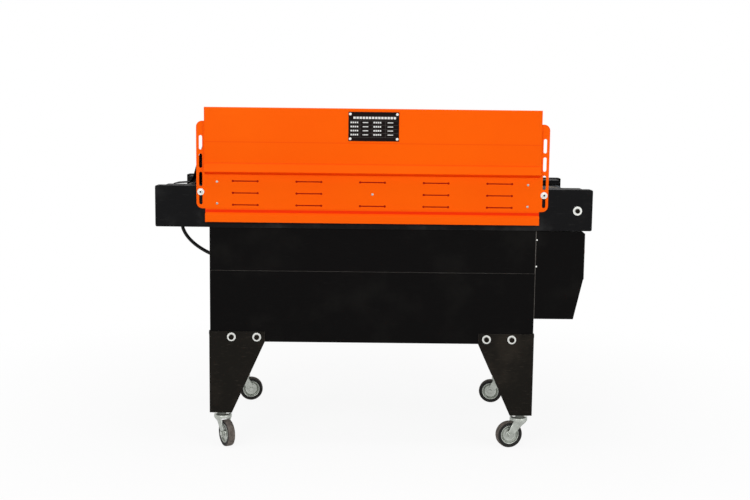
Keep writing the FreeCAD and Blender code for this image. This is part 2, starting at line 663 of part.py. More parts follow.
def make_drum(label, reach, front_end, rear_end):
    """One drum at X = reach, whose shaft runs from front_end to rear_end."""
    body = piece("PartDesign::Body", label)
    radius, shaft, half = "drum_diameter / 2", "drum_shaft / 2", "drum_face / 2"
    revolve(body, "YZ", [
        (front_end, "0"), (rear_end, "0"), (rear_end, shaft), (half, shaft), (half, radius),
        (f"-{half}", radius), (f"-{half}", shaft), (front_end, shaft)], "H_Axis")
    hollow_half = f"{half} - drum_end"
    sketch = sketch_on(body, "YZ")
    draw_outline(sketch, [
        (f"-({hollow_half})", f"{shaft}"), (hollow_half, shaft),
        (hollow_half, f"{radius} - drum_wall"), (f"-({hollow_half})", f"{radius} - drum_wall")])
    groove = body.newObject("PartDesign::Groove", "Groove")
    groove.Profile = sketch
    groove.ReferenceAxis = (sketch, ["H_Axis"])
    groove.Angle = 360
    tie(body, "Placement.Base.x", reach)
    tie(body, "Placement.Base.z", "drum_axis_height")
    doc.recompute()
    return body


INNER_WEB = "channel_half_width - channel_sheet"
drive = make_drum("drive_drum", "drum_reach", "-(channel_half_width + seat_gap)", INNER_WEB)
drill(drive, "XZ", "-(channel_half_width + seat_gap)", "shaft_bolt_hole", "shaft_bolt_shank", ("0", "0"))
make_drum("idler_drum", "-drum_reach", f"-({INNER_WEB} - seat_gap)", f"{INNER_WEB} - seat_gap")

# Bolt and washer on the drive shaft's front end.
BOLT_FACE = "-(channel_half_width + seat_gap)"
joined(
    rod(("drum_reach", BOLT_FACE, "drum_axis_height"), "-Y", "shaft_bolt_washer", "shaft_bolt_washer_sheet"),
    hexagon(("drum_reach", f"{BOLT_FACE} - shaft_bolt_washer_sheet", "drum_axis_height"), "-Y",
            "shaft_bolt_head", "shaft_bolt_head_height"),
    rod(("drum_reach", BOLT_FACE, "drum_axis_height"), "Y", "shaft_bolt_shank", "shaft_bolt_depth"),
    label="shaft_bolt")

# Square flange bearings with a round nose, bolted inside the channels.
bearings = []
for reach in ("drum_reach", "-drum_reach"):
    for side, along in ((-1, "Y"), (1, "-Y")):
        seat = (reach, f"{side} * ({INNER_WEB})", "drum_axis_height")
        corner_y = f"-({INNER_WEB})" if side < 0 else f"{INNER_WEB} - bearing_flange"
        flange = block((f"{reach} - bearing_side / 2", corner_y, "drum_axis_height - bearing_side / 2"),
                       ("bearing_side", "bearing_flange", "bearing_side"))
        nose = rod(seat, along, "bearing_nose_diameter", "bearing_nose")
        bore = rod(seat, along, "drum_shaft + 2 * running_clearance", "bearing_nose")
        bearings.append(less(joined(flange, nose), bore))
group("drum_bearings", bearings)

# Endless mesh belt round both drums.
BELT_INSIDE = "drum_diameter / 2 + seat_gap"
belt = piece("PartDesign::Body", "mesh_belt")
loop = sketch_on(belt, "XZ", "-belt_width / 2")
for size in (f"{BELT_INSIDE} + belt_sheet", BELT_INSIDE):
    draw_slot(loop, ("0", "drum_axis_height"), f"2 * (drum_reach + {size})", f"2 * ({size})", False)
swept(belt, "Pad", loop, "XZ", "belt_width")

# Grid that carries the belt: rods welded into the notches of cross bars between the channels.
ROD_AXIS = f"drum_axis_height + {BELT_INSIDE} - seat_gap - rod_diameter / 2"
grid_rods = [
    rod(("-outer_bar_reach - cross_bar_sheet", f"(2 * {index} / (rod_count - 1) - 1) * rod_reach", ROD_AXIS),
        "X", "rod_diameter", "2 * (outer_bar_reach + cross_bar_sheet)")
    for index in range(int(number("rod_count")))]
cross_bars = [
    less(block((f"{side} * {reach} - cross_bar_sheet / 2", f"-({half})", f"{ROD_AXIS} - cross_bar_height"),
               ("cross_bar_sheet", f"2 * ({half})", "cross_bar_height")), *grid_rods)
    for reach, half in (("outer_bar_reach", INNER_WEB), ("inner_bar_reach", "duct_inner_half_width"))
    for side in (-1, 1)]
group("belt_grid", grid_rods + cross_bars)

# Deck covers beside the belt, screwed under the channels' flanges, and the pan that closes the
# conveyor's underside ahead of the cabinet.
deck_covers = []
for end, start, length in (
        (-1, "-conveyor_length / 2 + deck_end_gap",
         "conveyor_length / 2 - deck_end_gap + hood_centre - hood_length / 2 - deck_hood_gap"),
        (1, "hood_centre + hood_length / 2 + deck_hood_gap",
         "conveyor_length / 2 - deck_end_gap - hood_centre - hood_length / 2 - deck_hood_gap")):
    for side in (-1, 1):
        outer, inner = f"{side} * ({INNER_WEB})", f"{side} * deck_inner_edge"
        inner_face = f"{side} * (deck_inner_edge + deck_sheet)"
        high = "channel_top - channel_sheet"
        cover = doc.addObject("PartDesign::Body", "DeckCover")
        pad(cover, "YZ", start, length, [
            (outer, high), (inner, high), (inner, f"{high} - deck_lip"),
            (inner_face, f"{high} - deck_lip"), (inner_face, f"{high} - deck_sheet"),
            (outer, f"{high} - deck_sheet")])
        deck_covers.append(cover)
group("deck_covers", deck_covers)

PAN_LOW = "channel_top - channel_depth + channel_sheet"
CABINET_LEFT = "cabinet_centre - cabinet_length / 2"
CABINET_RIGHT = "cabinet_centre + cabinet_length / 2"
pan = piece("PartDesign::Body", "conveyor_pan")
pad(pan, "XY", PAN_LOW, "deck_sheet", [
    ("-conveyor_length / 2 + deck_end_gap", f"-({INNER_WEB})"), (CABINET_LEFT, f"-({INNER_WEB})"),
    (CABINET_LEFT, INNER_WEB), ("-conveyor_length / 2 + deck_end_gap", INNER_WEB)])
drill(pan, "XY", PAN_LOW, "deck_sheet", "gland_nipple", ("hose_start", "0"))

# Worm gear motor hung on the drive shaft: gearbox with a hollow shaft, torque arm, ribbed motor.
gear_motor = piece("PartDesign::Body", "gear_motor")
MOTOR_X = "drum_reach - motor_offset"
MOTOR_Y = "gearbox_inner + gearbox_width / 2"
GEARBOX_LOW, GEARBOX_HIGH = "drum_axis_height - gearbox_side / 2", "drum_axis_height + gearbox_side / 2"
GEARBOX_LEFT, GEARBOX_RIGHT = "drum_reach - gearbox_side / 2", "drum_reach + gearbox_side / 2"
pad(gear_motor, "XZ", "gearbox_inner", "gearbox_width", [
    (f"{GEARBOX_LEFT} - gearbox_neck", GEARBOX_LOW), (GEARBOX_RIGHT, GEARBOX_LOW),
    (GEARBOX_RIGHT, f"{GEARBOX_HIGH} - gearbox_bevel"), (f"{GEARBOX_RIGHT} - gearbox_bevel", GEARBOX_HIGH),
    (GEARBOX_LEFT, GEARBOX_HIGH), (f"{GEARBOX_LEFT} - gearbox_neck", f"{GEARBOX_HIGH} - gearbox_neck")])
boss(gear_motor, "XY", "motor_bottom", f"{GEARBOX_LOW} - motor_bottom",
     "motor_diameter - 2 * motor_rib_height", (MOTOR_X, MOTOR_Y))
for index in range(int(number("motor_rib_count"))):
    rib_low = f"motor_bottom + motor_rib_start + {index} * motor_rib_pitch"
    boss(gear_motor, "XY", rib_low, "motor_rib_width", "motor_diameter", (MOTOR_X, MOTOR_Y))
ARM_LOW, ARM_HIGH = "drum_axis_height + torque_arm_rise", "drum_axis_height + torque_arm_rise + torque_arm"
pad(gear_motor, "XZ", "gearbox_inner + gearbox_width", f"{INNER_WEB} - gearbox_inner - gearbox_width", [
    ("drum_reach - torque_arm_far", ARM_LOW), ("drum_reach - torque_arm_near", ARM_LOW),
    ("drum_reach - torque_arm_near", ARM_HIGH), ("drum_reach - torque_arm_far", ARM_HIGH)])
drill(gear_motor, "XZ", "gearbox_inner", "gearbox_width", "drum_shaft + 2 * running_clearance",
      ("drum_reach", "drum_axis_height"))


# Hood: one folded sheet from its lower band over the top, closed by two end plates.

HOOD_LEFT = "hood_centre - hood_length / 2"
RECESS = "channel_half_width + seat_gap + hood_sheet"
HALF_PROFILE = [
    ("hood_face", "hood_top"), ("hood_face", "crease_height"), ("hood_waist", "waist_height"),
    ("hood_lip", "lip_height"), (RECESS, "recess_top")]
LOWER_PROFILE = [(RECESS, "recess_bottom"), ("hood_face", "band_top"), ("hood_face", "hood_bottom")]


def both_sides(half):
    """An outline from its rear half: the same points mirrored to the front."""
    return [(f"-({across})", up) for across, up in half] + [point for point in reversed(half)]


shell = piece("PartDesign::Body", "hood_shell")
pad(shell, "YZ", f"{HOOD_LEFT} + hood_sheet", "hood_length - 2 * hood_sheet",
    both_sides(HALF_PROFILE + LOWER_PROFILE))
TOP_EDGE = number("hood_top") - 0.01
LIP_EDGE = number("hood_lip") - 0.01
round_edges(shell, "bend_radius", lambda middle, run: abs(run.x) > 0.9 and middle.z > TOP_EDGE)
hollow(shell, "hood_sheet", lambda middle, normal: abs(normal.x) > 0.9
       or middle.z < number("hood_bottom") + 0.01)

for label, start in (("hood_end_left", HOOD_LEFT),
                     ("hood_end_right", "hood_centre + hood_length / 2 - hood_sheet")):
    plate = piece("PartDesign::Body", label)
    pad(plate, "YZ", start, "hood_sheet", both_sides(HALF_PROFILE + [
        (RECESS, "hood_end_bottom"), ("mouth_half_width", "hood_end_bottom"),
        ("mouth_half_width", "mouth_top")]))
    end_corner = number("hood_top") - 0.01
    round_edges(plate, "bend_radius", lambda middle, run: abs(run.x) > 0.9 and middle.z > end_corner)

# Vent strip with its slotted ears, in the recess of the hood, one in front and one behind.
EAR_SLOTS = [
    f"low_slot_height + {index} * (high_slot_height - low_slot_height) / (ear_slot_count - 1)"
    for index in range(int(number("ear_slot_count")))]
SLIT_ROWS = (
    ("slit_middle_height - slit_row_pitch", ("H_Axis", "slit_reach / 2", "5"),
     ("V_Axis", "2 * slit_row_pitch", "2")),
    ("slit_middle_height", ("H_Axis", "slit_reach / 2", "2"), ("H_Axis", "3 * slit_reach / 2", "2")))


def cut_at_slits(body, start, length, draw):
    """What draw puts round a slit's middle is cut at each slit: outer rows of five, a middle row of four."""
    for height, *directions in SLIT_ROWS:
        sketch = sketch_on(body, "XZ", start)
        draw(sketch, ("hood_centre - slit_reach", height))
        repeat(body, swept(body, "Pocket", sketch, "XZ", length), *directions)


def draw_slit(sketch, place):
    """The slit itself."""
    draw_slot(sketch, place, "slit_length", "slit_width", False)


def draw_slit_ends(sketch, place):
    """The two round holes where a slit ends."""
    for end in (-1, 1):
        draw_circle(sketch, (f"{place[0]} + {end} * (slit_length - slit_end) / 2", place[1]), "slit_end")


def draw_slit_window(sketch, place):
    """The plain opening in the hood's wall behind a slit."""
    along, up = "(slit_length / 2 + slit_window)", "(slit_width / 2 + slit_window)"
    draw_outline(sketch, [(f"{place[0]} + {across} * {along}", f"{place[1]} + {rise} * {up}")
                          for across, rise in ((-1, -1), (1, -1), (1, 1), (-1, 1))])


def make_vent_strip(label, side):
    """One strip; side is -1 in front and 1 behind."""
    body = piece("PartDesign::Body", label)
    low = f"-({RECESS} + hood_sheet)" if side < 0 else RECESS
    left, right = "hood_centre - ear_half_span", "hood_centre + ear_half_span"
    ear_left, ear_right = HOOD_LEFT, "hood_centre + hood_length / 2"
    pad(body, "XZ", low, "hood_sheet", [
        (left, "strip_bottom"), (right, "strip_bottom"), (right, "ear_top"), (ear_right, "ear_top"),
        (ear_right, "strip_top"), (ear_left, "strip_top"), (ear_left, "ear_top"), (left, "ear_top")])
    outer = number("ear_half_span") - 0.01
    centre = number("hood_centre")
    round_edges(body, "ear_corner", lambda middle, run: abs(run.y) > 0.9 and abs(middle.x - centre) > outer)
    ears = sketch_on(body, "XZ", low)
    for height in EAR_SLOTS:
        for place in (f"{left} + ear_slot_inset", f"{right} - ear_slot_inset"):
            draw_slot(ears, (place, height), "ear_slot_length", "ear_slot_width", True)
    swept(body, "Pocket", ears, "XZ", "hood_sheet")
    cut_at_slits(body, low, "hood_sheet", draw_slit)
    cut_at_slits(body, low, "hood_sheet", draw_slit_ends)
    return body


make_vent_strip("vent_strip_front", -1)
make_vent_strip("vent_strip_rear", 1)
cut_at_slits(shell, f"-({RECESS})", f"2 * ({RECESS})", draw_slit_window)

# Dome head rivets through the strip and the hood's wall.
rivets = []
for side, along in ((-1, "-Y"), (1, "Y")):
    for place, height in (("-rivet_reach", "rivet_high"), ("-rivet_reach", "rivet_low"),
                          ("0", "slit_middle_height"),
                          ("rivet_reach", "rivet_high"), ("rivet_reach", "rivet_low")):
        seat = (f"hood_centre + {place}", f"{side} * ({RECESS} + hood_sheet)", height)
        head = doc.addObject("Part::Cone", "RivetHead")
        tie(head, "Radius1", "rivet_diameter / 2")
        tie(head, "Radius2", "rivet_diameter / 4")
        tie(head, "Height", "rivet_head")
        set_down(head, seat, along)
        rivets.append(head)
group("hood_rivets", rivets)

# Bolts that clamp the ears to the channels: weld nut, spacer, shank, washer and domed head.
clamps = []
for side, inward, outward in ((-1, "Y", "-Y"), (1, "-Y", "Y")):
    for place in ("hood_centre - ear_half_span + ear_slot_inset",
                  "hood_centre + ear_half_span - ear_slot_inset"):
        face = (place, f"{side} * channel_half_width", CLAMP_HEIGHT)
        ear_face = along_step(face, outward, "2 * hood_sheet + 2 * seat_gap")
        clamps.append(joined(
            rod(along_step(face, inward, "channel_sheet + clamp_nut_height"), outward, "clamp_shank",
                "channel_sheet + clamp_nut_height + 2 * hood_sheet + 2 * seat_gap"),
            rod(face, outward, "clamp_head", "hood_sheet"),
            hexagon(along_step(face, inward, "channel_sheet"), inward, "clamp_head", "clamp_nut_height"),
            rod(ear_face, outward, "clamp_washer", "clamp_washer_sheet"),
            rod(along_step(ear_face, outward, "clamp_washer_sheet"), outward, "clamp_head",
                "clamp_head_height")))
group("clamp_bolts", clamps)

# Tunnel liner between the end plates, with insulation between it and the hood.
LINER_START = f"{HOOD_LEFT} + hood_sheet"
LINER_LENGTH = "hood_length - 2 * hood_sheet"
liner = piece("PartDesign::Body", "tunnel_liner")
pad(liner, "YZ", LINER_START, LINER_LENGTH, both_sides([
    ("liner_half_width", "liner_top"), ("liner_half_width", "liner_bottom"),
    ("liner_half_width - liner_sheet", "liner_bottom"),
    ("liner_half_width - liner_sheet", "liner_top - liner_sheet")]))
insulation = piece("PartDesign::Body", "hood_insulation")
pad(insulation, "YZ", LINER_START, LINER_LENGTH, both_sides([
    ("liner_half_width + wool_depth", "liner_top + wool_depth"),
    ("liner_half_width + wool_depth", "liner_bottom"),
    ("liner_half_width", "liner_bottom"), ("liner_half_width", "liner_top")]))

# Data plate, left blank, with its four screws.
PLATE_BACK = "-hood_face"
data_plate = piece("PartDesign::Body", "data_plate")
PLATE_MIDDLE = "hood_centre + plate_offset"
PLATE_LEFT, PLATE_RIGHT = f"{PLATE_MIDDLE} - plate_width / 2", f"{PLATE_MIDDLE} + plate_width / 2"
pad(data_plate, "XZ", f"{PLATE_BACK} - plate_sheet", "plate_sheet", [
    (PLATE_LEFT, "plate_low"), (PLATE_RIGHT, "plate_low"), (PLATE_RIGHT, "plate_high"),
    (PLATE_LEFT, "plate_high")])
group("data_plate_screws", [
    rod((f"{PLATE_MIDDLE} + {across} * plate_screw_reach", f"{PLATE_BACK} - plate_sheet", height), "-Y",
        "plate_screw_head", "plate_screw_head_height")
    for across in (-1, 1) for height in ("plate_low + plate_screw_inset", "plate_high - plate_screw_inset")])


# Curtains: a hem round a rod, then a sheet of strips dragged along by the belt.
# The path runs down from the hem, bends over and lies along the belt.

def hanging_curtain(label, rod_x, rod_height):
    """One curtain as a swept sheet, slit into strips below its hem."""
    sheet, width = number("curtain_sheet"), number("curtain_width")
    tip = number("curtain_tip_height")
    drop = rod_height - number("curtain_rod / 2 + running_clearance + hem_wall / 2")
    fall = drop - tip
    corners = [
        Vector(rod_x, 0, drop),
        Vector(rod_x - number("curtain_first_sway") * fall, 0, drop - number("curtain_first_drop") * fall),
        Vector(rod_x - number("curtain_second_sway") * fall, 0, tip + number("curtain_second_rise") * fall),
        Vector(rod_x - number("curtain_drag") * fall, 0, tip)]
    path = rounded_path(corners)
    section = path.makeOffset2D(sheet, 2, True, True)
    section.translate(Vector(0, -width / 2, 0))
    cloth = section.extrude(Vector(0, width, 0))
    outer = number("curtain_rod / 2 + running_clearance + hem_wall")
    inner = number("curtain_rod / 2 + running_clearance")
    seat = Vector(rod_x, -width / 2, rod_height)
    hem = Part.makeCylinder(outer, width, seat, Vector(0, 1, 0))
    bore = Part.makeCylinder(inner, width, seat, Vector(0, 1, 0))
    whole = cloth.fuse(hem).cut(bore).removeSplitter()
    pitch = width / number("curtain_strips")
    slit = number("curtain_slit")
    slits = [Part.makeBox(2 * fall, slit, fall + sheet,
                          Vector(rod_x - 1.5 * fall, -width / 2 + index * pitch - slit / 2, tip - 2 * sheet))
             for index in range(1, int(number("curtain_strips")))]
    made = piece("Part::Feature", label)
    made.Shape = whole.cut(slits[0].fuse(slits[1:]))
    return made


def rounded_path(corners, share=0.45):
    """Straight runs joined by tangent arcs, each as large as its two runs allow."""
    edges, start = [], corners[0]
    for before, corner, after in zip(corners, corners[1:], corners[2:]):
        back, ahead = before - corner, after - corner
        half_turn = (math.pi - back.getAngle(ahead)) / 2
        reach = share * min(back.Length, ahead.Length)
        inward, outward = corner + back.normalize() * reach, corner + ahead.normalize() * reach
        radius = reach / math.tan(half_turn)
        middle_way = (back + ahead).normalize()
        middle = corner + middle_way * (radius / math.cos(half_turn) - radius)
        edges.append(Part.LineSegment(start, inward).toShape())
        edges.append(Part.Arc(inward, middle, outward).toShape())
        start = outward
    edges.append(Part.LineSegment(start, corners[-1]).toShape())
    return Part.Wire(edges)


OUTLET_ROD_X = f"{HOOD_LEFT} - rod_offset"
INLET_ROD_X = "hood_centre + hood_length / 2 - hood_sheet - rod_offset"
INLET_ROD_HEIGHT = "liner_top - liner_sheet - inlet_rod_drop"
hanging_curtain("outlet_curtain", number(OUTLET_ROD_X), number("curtain_rod_height"))
hanging_curtain("inlet_curtain", number(INLET_ROD_X), number(INLET_ROD_HEIGHT))

# Rods of the curtains, each in two lugs on its end plate.
curtain_rods = []
for place, height, lug_reach, lug_height in (
        (OUTLET_ROD_X, "curtain_rod_height", "rod_offset + lug_radius", "2 * lug_radius"),
        (INLET_ROD_X, INLET_ROD_HEIGHT, "2 * lug_radius", "lug_radius + inlet_rod_drop")):
    lugs = [block((f"{place} - lug_radius", lug_side, f"{height} - lug_radius"),
                  (lug_reach, "lug_sheet", lug_height))
            for lug_side in ("-curtain_width / 2 - lug_gap - lug_sheet", "curtain_width / 2 + lug_gap")]
    bar = rod((place, "-curtain_width / 2 - lug_gap - lug_sheet", height), "Y", "curtain_rod",
              "curtain_width + 2 * lug_gap + 2 * lug_sheet")
    curtain_rods.append(joined(bar, *lugs))
group("curtain_rods", curtain_rods)


# Air duct: a lower chamber under the belt's return run and a side chamber at each edge of the belt.

duct = piece("PartDesign::Body", "jet_duct")
DUCT_START = "cabinet_centre - duct_half_length"
pad(duct, "YZ", DUCT_START, "2 * duct_half_length", both_sides([
    ("duct_inner_half_width", "duct_floor_top"), ("duct_inner_half_width", "duct_top"),
    ("duct_half_width", "duct_top"), ("duct_half_width", "duct_bottom")]))
cut(duct, "YZ", f"{DUCT_START} + duct_sheet", "2 * duct_half_length - 2 * duct_sheet", both_sides([
    ("duct_inner_half_width + duct_sheet", "duct_floor_top - duct_sheet"),
    ("duct_inner_half_width + duct_sheet", "duct_top - duct_sheet"),
    ("duct_half_width - duct_sheet", "duct_top - duct_sheet"),
    ("duct_half_width - duct_sheet", "duct_bottom + duct_sheet")]))
JET_START = "cabinet_centre - jet_reach"
jet = cut(duct, "XZ", "-duct_inner_half_width - duct_sheet", "2 * (duct_inner_half_width + duct_sheet)", [
    (f"{JET_START} - jet_length / 2", "jet_low"), (f"{JET_START} + jet_length / 2", "jet_low"),
    (f"{JET_START} + jet_length / 2", "jet_low + jet_height"),
    (f"{JET_START} - jet_length / 2", "jet_low + jet_height")])
repeat(duct, jet, ("H_Axis", "2 * jet_reach / (jet_count - 1)", "jet_count"),
       ("V_Axis", "jet_row_pitch", "2"))
NECK_LEFT = "cabinet_centre - blower_growth / 2 - blower_sheet"
NECK_RIGHT = "cabinet_centre + blower_radius + 3.5 * blower_growth"
NECK_INSIDE = "blower_half_width - blower_sheet"
cut(duct, "XY", "duct_bottom", "duct_sheet", [
    (f"{NECK_LEFT} + blower_sheet", f"-({NECK_INSIDE})"),
    (f"{NECK_RIGHT} - blower_sheet", f"-({NECK_INSIDE})"),
    (f"{NECK_RIGHT} - blower_sheet", NECK_INSIDE), (f"{NECK_LEFT} + blower_sheet", NECK_INSIDE)])
heater_places = [f"({index} - 1) * heater_pitch + {leg} * heater_loop / 2"
                 for index in range(3) for leg in (-1, 1)]
drill(duct, "YZ", DUCT_START, "duct_sheet", "heater_tube", *[
    (place, "heater_height") for place in heater_places])

# Heaters: three bent tubes that go in through the duct's left end.
heaters = []
for index in range(3):
    heater = doc.addObject("PartDesign::Body", "Heater")
    route = sketch_on(heater, "XY", "heater_height")
    start = f"{DUCT_START} - heater_stub"
    bend = "cabinet_centre + heater_reach"
    low_leg, high_leg = (f"({index} - 1) * heater_pitch + {leg} * heater_loop / 2" for leg in (-1, 1))
    centre = Vector(number(bend), (number(low_leg) + number(high_leg)) / 2, 0)
    ends = [Vector(number(start), number(leg), 0) for leg in (low_leg, high_leg)]
    turns = [Vector(number(bend), number(leg), 0) for leg in (low_leg, high_leg)]
    route.addGeometry(Part.LineSegment(ends[0], turns[0]))
    loop_circle = Part.Circle(centre, Vector(0, 0, 1), number("heater_loop") / 2)
    route.addGeometry(Part.ArcOfCircle(loop_circle, -math.pi / 2, math.pi / 2))
    route.addGeometry(Part.LineSegment(turns[1], ends[1]))
    route.addConstraint(Sketcher.Constraint("Tangent", 0, 2, 1, 1))
    route.addConstraint(Sketcher.Constraint("Coincident", 1, 2, 2, 1))
    pin_point(route, 0, 1, (start, low_leg))
    pin_point(route, 0, 2, (bend, low_leg))
    pin_point(route, 2, 1, (bend, high_leg))
    pin_point(route, 2, 2, (start, high_leg))
    ring = sketch_on(heater, "YZ", start)
    draw_circle(ring, (low_leg, "heater_height"), "heater_tube")
    tube = heater.newObject("PartDesign::AdditivePipe", "Tube")
    tube.Profile = ring
    tube.Spine = (route, ["Edge1", "Edge2", "Edge3"])
    doc.recompute()
    heaters.append(heater)
group("heater_tubes", heaters)


# Blower: a sheet scroll whose radius grows by a step each quarter turn, opening up into the duct.

def draw_scroll(sketch, inset, neck_left):
    """Three quarter arcs, each a step larger about a centre a step away, then the neck up to the duct."""
    arcs = []
    for index, (across, up) in enumerate((("-", "-"), ("+", "-"), ("+", "+")), start=1):
        place = (f"cabinet_centre {across} blower_growth / 2", f"blower_height {up} blower_growth / 2")
        size = number(f"blower_radius + {index} * blower_growth - {inset}")
        circle = Part.Circle(Vector(number(place[0]), number(place[1]), 0), Vector(0, 0, 1), size)
        begin = index * math.pi / 2
        if index == 1:
            begin = math.acos((number(neck_left) - number(place[0])) / size)
        arc = sketch.addGeometry(Part.ArcOfCircle(circle, begin, (index + 1) * math.pi / 2))
        pin_point(sketch, arc, 3, place)
        arcs.append(arc)
    radius_at = sketch.addConstraint(Sketcher.Constraint(
        "Radius", arcs[0], number(f"blower_radius + blower_growth - {inset}")))
    tie(sketch, f"Constraints[{radius_at}]", f"blower_radius + blower_growth - {inset}")
    for arc, following in zip(arcs, arcs[1:]):
        sketch.addConstraint(Sketcher.Constraint("Tangent", arc, 2, following, 1))
    left, right = sketch.getPoint(arcs[0], 1), sketch.getPoint(arcs[-1], 2)
    top = number("duct_bottom")
    spots = [right, Vector(right.x, top, 0), Vector(left.x, top, 0), left]
    lines = [sketch.addGeometry(Part.LineSegment(one, two)) for one, two in zip(spots, spots[1:])]
    sketch.addConstraint(Sketcher.Constraint("Tangent", arcs[-1], 2, lines[0], 1))
    for line, following in zip(lines, lines[1:]):
        sketch.addConstraint(Sketcher.Constraint("Coincident", line, 2, following, 1))
    sketch.addConstraint(Sketcher.Constraint("Coincident", lines[2], 2, arcs[0], 1))
    sketch.addConstraint(Sketcher.Constraint("Horizontal", lines[1]))
    sketch.addConstraint(Sketcher.Constraint("Vertical", lines[2]))
    pin_point(sketch, lines[1], 2, (neck_left, "duct_bottom"))


scroll = piece("PartDesign::Body", "blower_housing")
scroll_outside = sketch_on(scroll, "XZ", "-blower_half_width")
draw_scroll(scroll_outside, "0", NECK_LEFT)
swept(scroll, "Pad", scroll_outside, "XZ", "2 * blower_half_width")
scroll_inside = sketch_on(scroll, "XZ", "-blower_half_width + blower_sheet")
draw_scroll(scroll_inside, "blower_sheet", f"{NECK_LEFT} + blower_sheet")
swept(scroll, "Pocket", scroll_inside, "XZ", "2 * blower_half_width - 2 * blower_sheet")
BLOWER_AXIS = ("cabinet_centre", "blower_height")
drill(scroll, "XZ", "-blower_half_width", "blower_sheet", "blower_inlet", BLOWER_AXIS)
drill(scroll, "XZ", "blower_half_width - blower_sheet", "blower_sheet", "blower_shaft + blower_shaft_room",
      BLOWER_AXIS)

# Impeller: back plate, front ring and forward leaning blades, bored for the motor's shaft.
impeller = doc.addObject("PartDesign::Body", "Impeller")
TIP = "impeller_diameter / 2"
boss(impeller, "XZ", "impeller_half_width - blade_sheet", "blade_sheet", "impeller_diameter", ("0", "0"))
boss(impeller, "XZ", "0", "impeller_half_width - blade_sheet", "impeller_boss", ("0", "0"))
blade = pad(impeller, "XZ", "-impeller_half_width", "2 * impeller_half_width - blade_sheet", [
    ("-blade_sheet / 2", f"{TIP} - blade_depth"), ("blade_sheet / 2", f"{TIP} - blade_depth"),
    ("blade_lean / 3 + blade_sheet / 2", f"{TIP} - blade_depth / 2"),
    ("blade_lean + blade_sheet / 2", f"{TIP} - blade_sheet"),
    ("blade_lean - blade_sheet / 2", f"{TIP} - blade_sheet"),
    ("blade_lean / 3 - blade_sheet / 2", f"{TIP} - blade_depth / 2")])
blades = impeller.newObject("PartDesign::PolarPattern", "Blades")
blades.Originals = [blade]
blades.Axis = (blade.Profile[0], ["N_Axis"])
blades.Angle = 360
tie(blades, "Occurrences", "blade_count")
impeller.Tip = blades
doc.recompute()
ring = sketch_on(impeller, "XZ", "-impeller_half_width")
for size in ("impeller_diameter", "impeller_diameter - blade_depth"):
    draw_circle(ring, ("0", "0"), size)
swept(impeller, "Pad", ring, "XZ", "impeller_ring")
drill(impeller, "XZ", "0", "impeller_half_width", "blower_shaft", ("0", "0"))
tie(impeller, "Placement.Base.x", "cabinet_centre")
tie(impeller, "Placement.Base.z", "blower_height")

# Blower motor behind the scroll: a ribbed can on a foot, with its shaft as part of the turning rotor.
motor = piece("PartDesign::Body", "blower_motor")
MOTOR_START = "blower_half_width"
boss(motor, "XZ", MOTOR_START, "blower_motor_length", "blower_motor_diameter", BLOWER_AXIS)
for index in range(int(number("blower_rib_count"))):
    boss(motor, "XZ", f"{MOTOR_START} + motor_rib_start + {index} * motor_rib_pitch", "motor_rib_width",
         "blower_motor_diameter + 2 * blower_rib_height", BLOWER_AXIS)
pad(motor, "XZ", f"{MOTOR_START} + motor_rib_start",
    "(blower_rib_count - 1) * motor_rib_pitch + motor_rib_width", [
        ("cabinet_centre - motor_foot_low", "cabinet_bottom + panel_sheet"),
        ("cabinet_centre + motor_foot_low", "cabinet_bottom + panel_sheet"),
        ("cabinet_centre + motor_foot_high", "blower_height - motor_foot_drop"),
        ("cabinet_centre - motor_foot_high", "blower_height - motor_foot_drop")])
drill(motor, "XZ", MOTOR_START, "blower_motor_length - motor_cap", "blower_shaft + 2 * running_clearance",
      BLOWER_AXIS)
rotor_shaft = rod(("cabinet_centre", "0", "blower_height"), "Y", "blower_shaft",
                  "blower_half_width + blower_motor_length - motor_cap - rotor_end_gap")
group("blower_rotor", [impeller, rotor_shaft])


LEG_BOLT_PLACES = [(f"cabinet_centre + {place}", "leg_bolt_height") for place in (
    "-leg_bolt_far", "-leg_bolt_near", "leg_bolt_near", "leg_bolt_far")]

# Cabinet: floor tray, two end panels, front in two panels and a rear panel with cooling slots.

def panel_rectangle(low, high):
    """The full width of the cabinet between two heights."""
    return [(CABINET_LEFT, low), (CABINET_RIGHT, low), (CABINET_RIGHT, high), (CABINET_LEFT, high)]


CABINET_TOP = "channel_top - channel_depth"
INSIDE_FACE = "cabinet_half_depth - panel_sheet"
tray = piece("PartDesign::Body", "cabinet_floor")
pad(tray, "XY", "cabinet_bottom", "tray_height", [
    (CABINET_LEFT, f"-({INSIDE_FACE})"), (CABINET_RIGHT, f"-({INSIDE_FACE})"),
    (CABINET_RIGHT, INSIDE_FACE), (CABINET_LEFT, INSIDE_FACE)])
hollow(tray, "panel_sheet", lambda middle, normal: middle.z > number("cabinet_bottom + tray_height") - 0.01)
for wall in (f"-({INSIDE_FACE})", f"{INSIDE_FACE} - panel_sheet"):
    drill(tray, "XZ", wall, "panel_sheet", "leg_bolt_shank", *LEG_BOLT_PLACES)
for wall in (CABINET_LEFT, f"{CABINET_RIGHT} - panel_sheet"):
    drill(tray, "YZ", wall, "panel_sheet", "leg_bolt_shank",
          ("-leg_bolt_side", "leg_bolt_height"), ("leg_bolt_side", "leg_bolt_height"))

